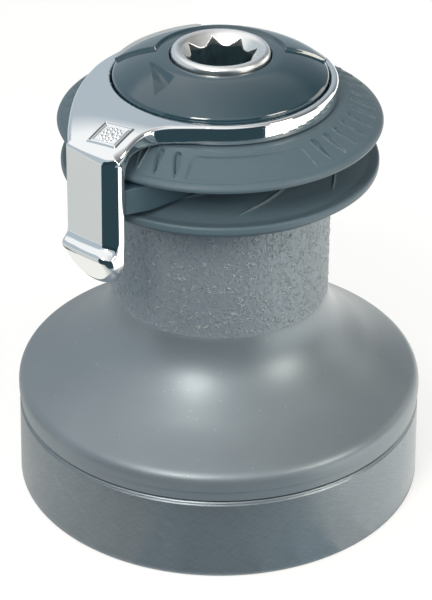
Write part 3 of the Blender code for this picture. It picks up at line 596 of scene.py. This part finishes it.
def make_grip(material):
    """The peened sleeve of the drum that holds the rope."""
    sides, row, edge = 860, 0.39, 0.7
    count = int((GRIP_TOP - edge - GRIP_BOTTOM) / row)
    heights = np.linspace(GRIP_TOP - edge, GRIP_BOTTOM, count)
    skirt = skirt_outline()
    radii = np.interp(-heights, -skirt[:, 1], skirt[:, 0])
    wall, under = GRIP_R - 1.5, GRIP_BOTTOM - 0.12
    ends = [(GRIP_R, under), (wall, under), (wall, GRIP_TOP), (GRIP_R - 0.6, GRIP_TOP),
            (GRIP_R - 0.15, GRIP_TOP - 0.2)]
    fade_above, fade_below = 0.8, 3.0
    fade = ramp(-heights, -heights[0], -heights[0] + fade_above)
    fade *= ramp(heights, heights[-1], heights[-1] + fade_below)
    relief = np.zeros((count + len(ends), sides))
    relief[:count] = peened(sides, heights) * fade[:, None]
    grip = lathe("drum_grip", np.vstack([np.stack([radii, heights], axis=1), ends]), sides,
                 lambda azimuth, radius, height: relief)
    finish_piece(grip, "drum", "anodised_grey", material, "drum")


def make_skirt(material):
    """The drum's core: the flare below the grip, the shoulder, the lip, the ring gear's seat and the bores."""
    skirt = skirt_outline()
    core, core_top, neck_r = GRIP_R - 1.3, GRIP_TOP - 0.1, 30.0
    seat_r, seat_top = 48.3, 38.9
    recess_r, recess_top = 41.0, 46.4
    bore_r, bore_top, neck_bore_r = 32.6, 111.6, 25.7
    outline = np.vstack([
        [(core, GRIP_BOTTOM), (GRIP_R - 0.12, GRIP_BOTTOM - 0.02)],
        skirt[skirt[:, 1] < GRIP_BOTTOM - 0.25],
        [(DRUM_R, 34.05), (DRUM_R - 0.1, 33.95), (DRUM_R - 0.42, 33.9), (DRUM_R - 0.45, 33.7),
         (DRUM_R - 0.4, DRUM_BOTTOM + 0.25), (DRUM_R - 0.65, DRUM_BOTTOM), (65.0, DRUM_BOTTOM), (60.0, 38.6),
         (52.6, DRUM_BOTTOM), (seat_r, DRUM_BOTTOM), (seat_r, seat_top), (recess_r, seat_top),
         (recess_r, recess_top), (bore_r, recess_top), (bore_r, bore_top), (neck_bore_r, bore_top),
         (neck_bore_r, NECK_TOP), (neck_r, NECK_TOP), (neck_r, core_top), (core, core_top)],
    ])
    finish_piece(lathe("drum_skirt", outline, 480), "drum", "anodised_grey", material)


# ---- jaws

RIBS = 8


def rib_relief(azimuth, radius, inner, outer, height):
    """Curved ribs that grip the rope, from nothing at the jaw's rim to full height near its middle."""
    lead, curl, straight_r = radians(6.0), radians(27.0), 46.5
    sweep = lead + curl * np.clip((straight_r - radius) / 9.0, 0, 1.3) ** 1.25
    pitch = tau / RIBS
    off = ((azimuth - sweep + pitch / 2) % pitch - pitch / 2) * radius
    width = 0.35 + 0.75 * np.clip((outer - radius) / (outer - inner), 0, 1)
    body = np.clip(1 - np.abs(off) / width, 0, 1) ** 0.7
    return height * body * ramp(outer - radius, 0, 5) * ramp(radius, inner - 2.5, inner - 1.5)


def make_lower_jaw(material):
    """The sprung lower jaw, dished, with curved ribs on its upper face."""
    outline = rounded([
        (34.0, LOWER_JAW_TOP, 0.5), (42.0, 124.4, 8.0), (49.4, 122.6, 4.0), (52.4, 123.1, 1.0),
        (LOWER_JAW_R, 122.5, 1.1), (LOWER_JAW_R, 120.6, 1.0), (50.0, 118.2, 3.0), (42.0, 115.0, 4.0),
        (39.4, LOWER_JAW_BOTTOM, 0.8), (37.9, LOWER_JAW_BOTTOM, 0.2), (37.9, 121.0, 0.2), (30.4, 121.0, 0.2),
        (30.4, LOWER_JAW_TOP, 0.3),
    ])
    outline = spaced(outline, 0.4, lambda r, z: 33.5 < r < 51 and z > 122)

    def relief(azimuth, radius, height):
        face = (height > 122.2) & (radius > 33.5) & (radius < 50.5)
        return np.where(face, rib_relief(azimuth, radius, 37.5, 47.5, 0.85), 0)

    finish_piece(lathe("jaw_lower_ring", outline, 720, relief), "lower_jaw", "jaw_grey", material, "lower_jaw")


DROPS = 48
PANEL_MIDDLE = radians(12.4)
FACE_INNER, FACE_OUTER = 41.0, 52.3


def on_face(radius, height):
    """Whether a point is on the upper jaw's cone and not on its underside."""
    return height > 144.2 - 0.54 * (radius - FACE_INNER) - 0.45


def drop_relief(azimuth, radius):
    """A ring of drop-shaped recesses, round inside and pointed outside, leaving out those under the panel."""
    pitch = tau / DROPS
    inner, outer, half_width = 42.9, 50.7, 0.92
    lean = radians(1.6) * (radius - inner) / (outer - inner)
    from_panel = azimuth - PANEL_MIDDLE - lean
    number = np.round(from_panel / pitch)
    off = (from_panel - number * pitch) * radius
    around = (from_panel + pi) % tau - pi
    share = np.clip((radius - inner - half_width) / (outer - inner - half_width), 0, 1)
    edge = half_width * (1 - share**1.6)
    before = np.clip((inner + half_width - radius) / half_width, 0, 2)
    round_end = np.hypot(off, before * half_width) - half_width
    distance = np.where(radius < inner + half_width, round_end, np.abs(off) - edge)
    deep = ramp(-distance, -0.08, 0.26) * (radius < outer)
    lip = np.exp(-((distance - 0.24) / 0.18) ** 2) * (radius < outer + 0.4)
    under_panel, raised, sunk = 7, 0.45, 0.80
    there = np.abs(around) > under_panel / 2 * pitch
    return there * (raised * lip - sunk * deep)


def panel_relief(azimuth, radius):
    """A shallow blank panel with a rounded outline, open towards the rim."""
    half_turn, inner, corner = radians(23.9), 43.4, 2.2
    around = (azimuth - PANEL_MIDDLE + pi) % tau - pi
    side = (np.abs(around) - half_turn) * radius - 0.12 * (radius - 47)
    start = inner - radius
    edge = np.hypot(np.maximum(side + corner, 0), np.maximum(start + corner, 0)) - corner
    edge = np.where((side < -corner) & (start < -corner), -corner, edge)
    rim, raised, line_width, sunk = 52.0, 0.42, 0.26, 0.20
    line = np.exp(-(edge / line_width) ** 2)
    return ramp(rim - radius, 0, 1.6) * (raised * line - sunk * ramp(-edge, 0.1, 0.5))


def make_upper_jaw(material):
    """The upper jaw's ring, with a rolled rim."""
    outline = rounded([
        (31.0, JAW_TOP - 0.8, 0.2), (40.8, JAW_TOP - 0.8, 0.2), (52.0, 137.8, 0.2), (52.25, 138.3, 0.1),
        (53.4, 137.5, 0.9), (UPPER_JAW_R, 136.5, 0.7), (53.5, 135.5, 0.5), (51.6, 135.2, 1.0),
        (34.0, 132.2, 1.0), (31.0, UPPER_JAW_BOTTOM, 0.5), (25.8, UPPER_JAW_BOTTOM, 0.2), (25.8, 137.0, 0.2),
        (31.0, 137.0, 0.3),
    ])
    finish_piece(lathe("jaw_upper_ring", outline, 480), "drum", "jaw_grey", material, "upper_jaw")


def make_upper_face(material):
    """The upper jaw's cone, with drop-shaped recesses and a blank panel."""
    outline = rounded([
        (31.0, JAW_TOP, 0.2), (41.2, JAW_TOP, 0.5), (42.4, 143.75, 0.8), (FACE_OUTER, 138.33, 0.1),
        (51.9, 137.9, 0.1), (40.8, JAW_TOP - 0.9, 0.1), (31.0, JAW_TOP - 0.9, 0.1),
    ])
    outline = spaced(outline, 0.2, lambda r, z: FACE_INNER + 1 < r < FACE_OUTER and on_face(r, z))

    def relief(azimuth, radius, height):
        top = (radius > FACE_INNER + 0.5) & (radius < FACE_OUTER - 0.1) & on_face(radius, height)
        return np.where(top, drop_relief(azimuth, radius) + panel_relief(azimuth, radius), 0)

    finish_piece(lathe("jaw_upper_face", outline, 1020, relief), "drum", "jaw_grey", material)


def make_springs(material):
    """The coil springs that lift the lower jaw."""
    wire_r, coil_r, turns, per_turn, around, travel = 0.4, 1.5, 5, 24, 10, 3.5
    round_wire = [tau * n / around for n in range(around)]
    for i in range(1, 7):
        low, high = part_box(f"jaw_spring_{i}")
        centre = (low + high) / 2 / MM
        bottom, top = low.z / MM + wire_r, high.z / MM - wire_r
        steps = np.arange(turns * per_turn + 1)
        angle, share = steps * tau / per_turn, steps / steps[-1]
        lift = ramp(share, 0, 1) * 0.4 + share * 0.6
        height = bottom + (top - bottom) * lift
        line = np.stack([coil_r * np.cos(angle), coil_r * np.sin(angle), height], axis=1)
        points = []
        for k, place in enumerate(line):
            out, up = np.array((cos(angle[k]), sin(angle[k]), 0)), np.array((0, 0, 1))
            points += [place + wire_r * (cos(turn) * out + sin(turn) * up) for turn in round_wire]
        points = np.array(points) + (centre.x, centre.y, 0)
        faces = grid_quads(len(line), around)[0][:-1, :, [0, 3, 2, 1]].reshape(-1, 4).tolist()
        faces.append(tuple(range(around))[::-1])
        faces.append(tuple(range(len(points) - around, len(points))))
        spring = add_mesh(f"coil_spring_{i}", points * MM, faces)
        spring.data.shade_smooth()
        finish_piece(spring, "drum", "stainless", material, f"jaw_spring_{i}")
        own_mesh(spring)


# ---- feeder arm and stripper

ARM_HALF = 10.5


def arm_top(radius):
    """The arm's upper surface, level on the ring and rolling down towards the leg."""
    fall, level_r = 0.0057, 36.0
    return ARM_TOP - fall * np.maximum(radius - level_r, 0) ** 2


def arm_field():
    """The arm's distance field, with the leg towards -Y."""
    left = smooth_line([(-38.3, -2.0), (-37.4, -16.0), (-34.5, -26.2), (-29.1, -37.5), (-22.8, -47.0),
                        (-15.6, -56.0), (-ARM_HALF - 0.4, -61.0)], 0.5)
    right = smooth_line([(ARM_HALF, -63.0), (9.7, -57.0), (8.6, -50.0), (9.0, -45.0), (11.4, -40.6),
                         (16.0, -36.4), (24.0, -29.9)], 0.4)
    plan = np.vstack([left, [(-ARM_HALF, -62.5), (-ARM_HALF, -80), (ARM_HALF, -80)], right, [(0, -15)]])
    foot = 99.3
    outer = rounded([(62.8, 175, 0), (63.8, 115.8, 3.6), (67.5, 112.9, 2.2), (61.2, foot, 3.0), (0, foot, 0),
                     (0, 175, 0)], 0.3)
    web_under, leg_inner = 144.9, 56.6
    hollow = rounded([(-60, web_under, 0), (leg_inner, web_under, 5.0), (leg_inner + 2.4, 90, 0),
                      (-60, 90, 0)], 0.3)
    tongue_top, tongue_bottom, web_bottom = 110.5, 99.4, 143.6
    angles = np.linspace(pi, tau, 40)
    curve = [(ARM_HALF * cos(a), tongue_top + (tongue_top - tongue_bottom) * sin(a)) for a in angles]
    front = np.vstack([rounded([(-70, 160, 0), (-70, web_bottom, 0), (-ARM_HALF, web_bottom, 2.0)], 0.3),
                       curve, rounded([(ARM_HALF, web_bottom, 0), (70, web_bottom, 0), (70, 160, 0)])])
    bore_r, wall_r, ring_r, ring_bottom = 24.7, 35.9, 38.5, 144.6
    ring = rounded([(bore_r, ring_bottom, 0.3), (bore_r, 147.6, 0.3), (wall_r, 147.9, 0.3),
                    (wall_r, 150.6, 0.3), (36.3, ARM_TOP, 0.2), (ring_r, ARM_TOP, 1.3),
                    (ring_r, ring_bottom, 0.5)], 0.2)

    crown_r = 85

    def field(x, y, z):
        radius = np.hypot(x, y)
        out = -y + x**2 / (2 * crown_r)
        corner = 1.5 + 4.2 * ramp(x, -3, 6) * ramp(z, 109, 116) + 1.6 * ramp(-z, -115, -110)
        leg = both(outline_distance(outer, out, z), outline_distance(front, x, z), corner)
        leg = both(leg, outline_distance(plan, x, y), 0.9)
        leg = both(leg, z - arm_top(radius), 1.1 + 1.9 * ramp(x, -8, 8) * ramp(-y, 54, 60))
        leg = both(leg, -outline_distance(hollow, -y, z), 0.7)
        leg = np.maximum(leg, 36.1 - radius)
        return np.minimum(leg, outline_distance(ring, radius, z))

    return field


def make_arm(material):
    """The chromed feeder arm: a ring, a web out over the jaws, a leg and a lipped foot."""
    arm = skin("arm_body", arm_field(), (-41, -69.5, 98.5), (41, 41, 152.4), 0.45)
    arm.data.transform(Matrix.Rotation(ARM_TURN, 4, "Z"))
    finish_piece(arm, "fixed_frame", "chrome", material, "feeder_arm")


def make_emblem(material):
    """A raised square frame on the arm's web, with a plain pattern of small domes in it."""
    half, border, step, turn, middle = 5.4, 0.6, 0.12, radians(8.4), np.array((-0.1, -53.0))
    line = np.arange(-half - border, half + border + step, step)
    u, v = np.meshgrid(line, line, indexing="ij")
    x = middle[0] + u * cos(turn) - v * sin(turn)
    y = middle[1] + u * sin(turn) + v * cos(turn)
    edge = np.maximum(np.abs(u) - half, np.abs(v) - half)
    lines = [h * np.exp(-((edge + inset) / w) ** 2)
             for inset, w, h in ((0.35, 0.28, 0.55), (1.25, 0.22, 0.25))]
    far, angle = np.hypot(u, v), np.arctan2(v, u)
    middle_r, dome_r = 0.9, 0.55
    domes = np.sqrt(np.clip(1 - (far / middle_r) ** 2, 0, 1))
    for count, ring_r in ((8, 1.9), (12, 3.1)):
        pitch = tau / count
        off = (angle + pitch / 2) % pitch - pitch / 2
        dome = np.hypot(far * np.cos(off) - ring_r, far * np.sin(off))
        domes = domes + np.sqrt(np.clip(1 - (dome / dome_r) ** 2, 0, 1))
    dome_height, plinth, sunk, thickness = 0.42, 0.04, 0.3, 0.6
    raised = sum(lines) + dome_height * domes + plinth
    skirt = ramp(-edge, -0.45, 0.0)
    z = arm_top(np.hypot(x, y)) - sunk + skirt * (sunk + raised)
    rows, columns = u.shape
    top = np.stack([x, y, z], axis=-1).reshape(-1, 3)
    under = top - (0, 0, thickness)
    face = grid_quads(rows, columns)[0][:-1, :-1].reshape(-1, 4)
    total = rows * columns
    number = np.arange(total).reshape(rows, columns)
    rim = np.concatenate([number[:, 0], number[-1, 1:], number[-2::-1, -1], number[0, -2:0:-1]]).tolist()
    walls = [(b, a, a + total, b + total) for a, b in zip(rim, rim[1:] + rim[:1])]
    faces = [*face.tolist(), *(face[:, ::-1] + total).tolist(), *walls]
    emblem = add_mesh("arm_emblem", np.vstack([top, under]) * MM, faces)
    emblem.data.shade_smooth()
    emblem.data.transform(Matrix.Rotation(ARM_TURN, 4, "Z"))
    finish_piece(emblem, "fixed_frame", "chrome", material)


def make_stripper(material):
    """The wedge that peels the rope out of the jaws beside the arm's leg."""
    plan = rounded([(-5.5, -31.0, 0.5), (-6.0, -36.0, 3.0), (-30.0, -49.8, 0.6), (-41.8, -39.4, 0.6),
                    (-32.0, -10.0, 3.0), (-20.0, -14.0, 3.0)], 0.3)
    side = rounded([(57.9, 134.4, 0.5), (57.9, 125.6, 0.5), (50.0, 124.9, 6.0), (42.4, 125.9, 8.0),
                    (34.4, 128.6, 1.0), (32.8, 128.8, 0.3), (32.8, 131.3, 0.3), (50.0, 134.4, 3.0)], 0.3)

    def field(x, y, z):
        return both(outline_distance(plan, x, y), outline_distance(side, np.hypot(x, y), z), 0.5)

    wedge = skin("stripper_wedge", field, (-45, -54, 123), (-3, -7, 135.5), 0.4)
    finish_piece(wedge, "fixed_frame", "jaw_grey", material, "rope_stripper")


# ---- cap and spindle

def cap_relief(azimuth, radius):
    """The cap's raised back sector and the three-sided dent in its front left."""
    back = np.abs((azimuth + pi) % tau - pi)
    step, blend, step_turn = 1.05, 0.35, radians(101.5)
    raised = step * ramp(back * radius, step_turn * radius - blend, step_turn * radius + blend)
    raised = raised * ramp(radius, 20.9, 21.8)
    x, y = radius * np.sin(azimuth), -radius * np.cos(azimuth)
    tip, low, near = (np.array((r * sin(radians(a)), -r * cos(radians(a))))
                      for r, a in ((23.3, -80.0), (32.0, -40.4), (21.6, -42.0)))
    sides = np.stack([low - tip, near - tip], axis=1)
    to_low, to_near = (way[0] * (x - tip[0]) + way[1] * (y - tip[1]) for way in np.linalg.inv(sides))
    reached = to_low + to_near
    across = to_low / np.maximum(reached, 1e-6)
    depth, brink = np.interp(across, (0, 0.3, 0.5, 1), (0, 1.9, 1.6, 0)), 1.04
    within = (to_low > 0) & (to_near > 0) & (reached < brink)
    dent = np.where(within, np.clip(reached, 0, 1) ** 0.6 * depth * ramp(brink - reached, 0, 0.10), 0)
    return raised - dent


def make_cap(material):
    """The gloss cap: a dome round the socket with a rolled lip."""
    bore = SPINDLE_R + 0.5
    dome = cubic((20.8, CAP_TOP - 0.36), (25.0, CAP_TOP - 1.25), (29.6, 155.6), (33.3, 153.4), 34)
    outline = np.vstack([
        [(bore + 0.25, CAP_TOP - 0.02), (17.6, CAP_TOP - 0.04), (19.6, CAP_TOP - 0.2), (20.4, CAP_TOP - 0.3)],
        dome,
        rounded([(33.4, 153.34, 0), (CAP_R - 0.05, 152.2, 1.6), (CAP_R, CAP_BOTTOM, 0.2),
                 (33.6, CAP_BOTTOM, 0.2), (33.0, 151.1, 0.3), (30.0, 152.2, 0.5), (18.4, 155.3, 0.3),
                 (bore, 155.6, 0.2), (bore, CAP_TOP - 0.3, 0.1)]),
    ])
    outline = spaced(outline, 0.3, lambda r, z: z > 153.0 and r > 19.5)
    face_r, face_bottom, slope = 20.6, 152.1, 0.42

    def relief(azimuth, radius, height):
        top = (radius > face_r) & (height > face_bottom) & (height > CAP_TOP - 1.5 - slope * (radius - face_r))
        return np.where(top, cap_relief(azimuth, radius), 0)

    finish_piece(lathe("cap_dome", outline, 800, relief), "fixed_frame", "cap_slate", material, "top_cap")


def pawl_pocket(number):
    """A prism that holds one of the spindle's two pawls, folded or lifted."""
    length, half_width, pivot_r, tilt, fold, spare = 5.2, 1.6, 8.5, radians(55), radians(20), 0.3
    pivot_angle = radians(60) + pi * number
    pivot = Vector((cos(pivot_angle), sin(pivot_angle))) * pivot_r
    corners = []
    for angle, grow in ((pivot_angle - tilt, 0.35), (pivot_angle - tilt - fold, 0.95)):
        along, across = Vector((cos(angle), sin(angle))), Vector((-sin(angle), cos(angle)))
        turns = [tau * k / 16 for k in range(16)]
        corners += [pivot + (half_width + grow) * Vector((cos(t), sin(t))) for t in turns]
        nose = 0.55 * half_width + grow
        corners += [pivot + along * (length + grow) + across * side * nose for side in (-1, 1)]
    hull = [corners[i] for i in convex_hull_2d(corners)]
    low, high = (corner.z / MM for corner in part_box("spindle_pawl_1"))
    count = len(hull)
    points = [(c.x * MM, c.y * MM, z * MM) for z in (low - spare, high + spare) for c in hull]
    walls = [(k, (k + 1) % count, count + (k + 1) % count, count + k) for k in range(count)]
    return add_mesh("pawl_pocket", points, [tuple(range(count))[::-1], tuple(range(count, 2 * count)), *walls])


def make_spindle(material):
    """The handle socket's head, with its eight-pointed hole and flared mouth, and the shaft below it."""
    square, bored_r, floor, turn = 17.5, 9.95, 134.0, radians(13)
    flat, corner_r = square / 2, square / 2 * 2**0.5
    land = atan2((bored_r**2 - flat**2) ** 0.5, flat)
    star = []
    for i in range(8):
        tip = turn + tau * i / 8
        for r, angle in ((corner_r, tip), (bored_r, tip + pi / 4 - land), (bored_r, tip + land)):
            star.append((r * cos(angle), r * sin(angle), 0.12))
    star = rounded(star)
    head_bottom, body_r, collar = 126.2, 15.2, 152.2
    head = rounded([(0, head_bottom, 0), (12.6, head_bottom, 0), (body_r, 128.6, 0.5), (body_r, collar, 0.2),
                    (SPINDLE_R, collar, 0.2), (SPINDLE_R, SPINDLE_TOP, 1.7), (0, SPINDLE_TOP, 0)], 0.15)
    above, below = SPINDLE_TOP + 4, SPINDLE_TOP - 4.6
    mouth = rounded([(0, above, 0), (17.4, above, 0), (13.5, SPINDLE_TOP - 0.1, 0), (9.0, below, 0),
                     (0, below, 0)])

    def field(x, y, z):
        radius = np.hypot(x, y)
        solid = outline_distance(head, radius, z)
        hole = np.maximum(outline_distance(star, x, y), floor - z)
        solid = both(solid, -outline_distance(mouth, radius, z), 0.8)
        return both(solid, -hole, 0.12)

    socket = skin("spindle_head", field, (-17, -17, 125.8), (17, 17, 161.4), 0.34)
    finish_piece(socket, "spindle", "stainless", material, "main_spindle")
    shaft_top, shaft_r, foot_top, foot_r, axis_r = 126.4, 11.9, 19.0, 8.0, 0.01
    shaft = lathe("spindle_shaft", rounded([
        (12.55, shaft_top, 0), (shaft_r, 124.0, 0.5), (shaft_r, foot_top, 0.4), (foot_r, foot_top, 0.3),
        (foot_r, SPINDLE_BOTTOM, 0.6), (axis_r, SPINDLE_BOTTOM, 0), (axis_r, shaft_top, 0)]), 96)
    cut(shaft, [pawl_pocket(i) for i in range(2)])
    finish_piece(shaft, "spindle", "stainless", material)


# ---- the frame's own nodes

def paint_frame(materials):
    """Gives each CAD node the finish of its slot."""
    for part in frame["record"]["subparts"]:
        node = frame["nodes"][part["node"]]
        finish = materials[part["material_slot"]]
        if not node.material_slots:
            node.data.materials.append(finish)
        for slot in node.material_slots:
            slot.material = finish


# ---- studio

# Lengths in the studio are metres.

def glow(name, colour, strength):
    """A material of plain light."""
    material = bpy.data.materials.new(name)
    made = Nodes(material)
    light = made.add("ShaderNodeEmission", Color=(*colour, 1), Strength=strength)
    made.link(light.outputs[0], made.nodes["Material Output"].inputs["Surface"])
    return material


def make_floor():
    """A wide sheet of matt paper with a faint glow, just under the base."""
    half, under = 6.0, -0.0002
    corners = [(half * x, half * y, 0) for x, y in ((-1, -1), (1, -1), (1, 1), (-1, 1))]
    floor = add_mesh("floor", corners, [(0, 1, 2, 3)])
    floor.location.z = under
    glowing = {"Emission Color": (1.0, 1.0, 0.99, 1), "Emission Strength": 0.6}
    floor.data.materials.append(Finish("floor_paper", (0.40, 0.395, 0.39), 0.9, **glowing).material)
    floor.visible_diffuse = False


def sector(name, first, last, lower, upper, colour, strength):
    """A glowing card that only reflections see, from azimuth first to last in degrees.

    Its two edges are arcs, each (radius, height).
    """
    steps = 24
    points = []
    for k in range(steps + 1):
        azimuth = radians(first + (last - first) * k / steps)
        points += [(r * sin(azimuth), -r * cos(azimuth), z) for r, z in (lower, upper)]
    faces = [(2 * k, 2 * k + 1, 2 * k + 3, 2 * k + 2) for k in range(steps)]
    card = add_mesh(name, points, faces)
    card.data.materials.append(glow(name, colour, strength))
    card.visible_camera = card.visible_diffuse = card.visible_shadow = card.visible_transmission = False


def direction(azimuth, elevation):
    """The way to a point in the sky, from its angles in degrees."""
    a, e = radians(azimuth), radians(elevation)
    return Vector((sin(a) * cos(e), -cos(a) * cos(e), sin(e)))


def softbox(name, azimuth, elevation, distance, size, brightness, colour):
    """A soft light that faces the winch's middle."""
    data = bpy.data.lights.new(name, "AREA")
    data.shape = "RECTANGLE"
    data.size, data.size_y = size
    data.energy = brightness * pi * size[0] * size[1]
    data.color = colour
    light = add_object(name, data)
    back, aim = direction(azimuth, elevation), Vector((0, 0, 0.08))
    light.location = aim + back * distance
    light.rotation_euler = (-back).to_track_quat("-Z", "Y").to_euler()
    light.visible_camera = False
    return light


def make_sky():
    """A grey sky with a white ceiling, dimmer towards a place high on the right."""
    world = bpy.data.worlds.new("studio")
    sky = Nodes(world)
    coordinates = sky.add("ShaderNodeTexCoord").outputs["Generated"]
    height = sky.add("ShaderNodeSeparateXYZ", {"Vector": coordinates}).outputs["Z"]
    ceiling = sky.add("ShaderNodeValToRGB", {"Fac": height})
    low, high = ceiling.color_ramp.elements
    low.position, low.color = 0.56, (0.47, 0.535, 0.585, 1)
    high.position, high.color = 0.65, (1.0, 1.0, 1.0, 1)
    towards = sky.add("ShaderNodeVectorMath", {0: coordinates})
    towards.operation = "DOT_PRODUCT"
    towards.inputs[1].default_value = direction(108, 34)
    span = {"From Min": 0.45, "From Max": 0.9, "To Min": 1.0, "To Max": 0.3}
    fall = sky.add("ShaderNodeMapRange", {"Value": towards.outputs["Value"]}, **span)
    background = sky.nodes["Background"]
    sky.link(ceiling.outputs["Color"], background.inputs["Color"])
    sky.link(fall.outputs[0], background.inputs["Strength"])
    bpy.context.scene.world = world


def make_studio():
    """A pale floor with cards on it for the reflections, and soft light from above and both sides."""
    make_floor()
    make_sky()
    dark, cool, warm = (0.4, 0.8, 1.0), (0.78, 0.94, 1.0), (1.0, 0.98, 0.93)
    low, base_edge, near_edge, far_edge, wall_r = 0.0006, 0.0715, 0.14, 1.6, 1.55
    azimuths = (-120, -75, -35, 0, 30, 50, 75, 120)
    strengths = (0.95, 0.95, 0.62, 0.3, 0.66, 1.35, 1.55, 1.6)
    width = 12
    for azimuth in range(-180, 180, width):
        strength = float(np.interp(azimuth + width / 2, azimuths, strengths))
        sector(f"near_{azimuth + 180}", azimuth, azimuth + width, (base_edge, low), (near_edge, low),
               cool if abs(azimuth) < 3 * width else warm, strength)
    sector("dark_side", -106, -82, (near_edge, 1.5 * low), (0.225, 1.5 * low), dark, 0.1)
    sector("dark_front", -62, 42, (near_edge, low), (far_edge, low), dark, 0.07)
    sector("dark_horizon", -58, 41, (wall_r, 0), (wall_r, 0.75), dark, 0.05)
    sector("pale_left", -178, -62, (near_edge, low), (far_edge, low), (0.97, 1.0, 0.98), 0.65)
    sector("pale_right", 42, 182, (near_edge, low), (far_edge, low), warm, 2.0)
    softbox("key", -24, 44, 1.1, (0.26, 0.42), 16, (1, 0.94, 0.87))
    softbox("key_right", 61, 27, 1.1, (0.36, 0.36), 9.5, (1, 0.92, 0.80))
    softbox("side_right", 118, 14, 1.2, (0.6, 0.5), 1.5, (1, 0.93, 0.82)).visible_diffuse = False
    softbox("side_left", -95, 12, 1.3, (0.8, 0.8), 1.7, (0.97, 0.99, 1)).visible_glossy = False
    softbox("front", 5, 34, 1.2, (1.2, 0.7), 1.0, (0.93, 0.98, 1)).visible_glossy = False
    bpy.context.scene.view_settings.view_transform = "Standard"


# ---- build

make_camera()
MATERIALS = make_materials()
paint_frame(MATERIALS)
for make, finish in (
    (make_base, "base"), (make_grip, "grip"), (make_skirt, "anodised_grey"), (make_lower_jaw, "jaw_grey"),
    (make_upper_jaw, "jaw_grey"), (make_upper_face, "jaw_grey"), (make_springs, "stainless"),
    (make_arm, "chrome"), (make_emblem, "chrome"), (make_stripper, "stripper"), (make_cap, "cap_slate"),
    (make_spindle, "socket"),
):
    make(MATERIALS[finish])
make_studio()
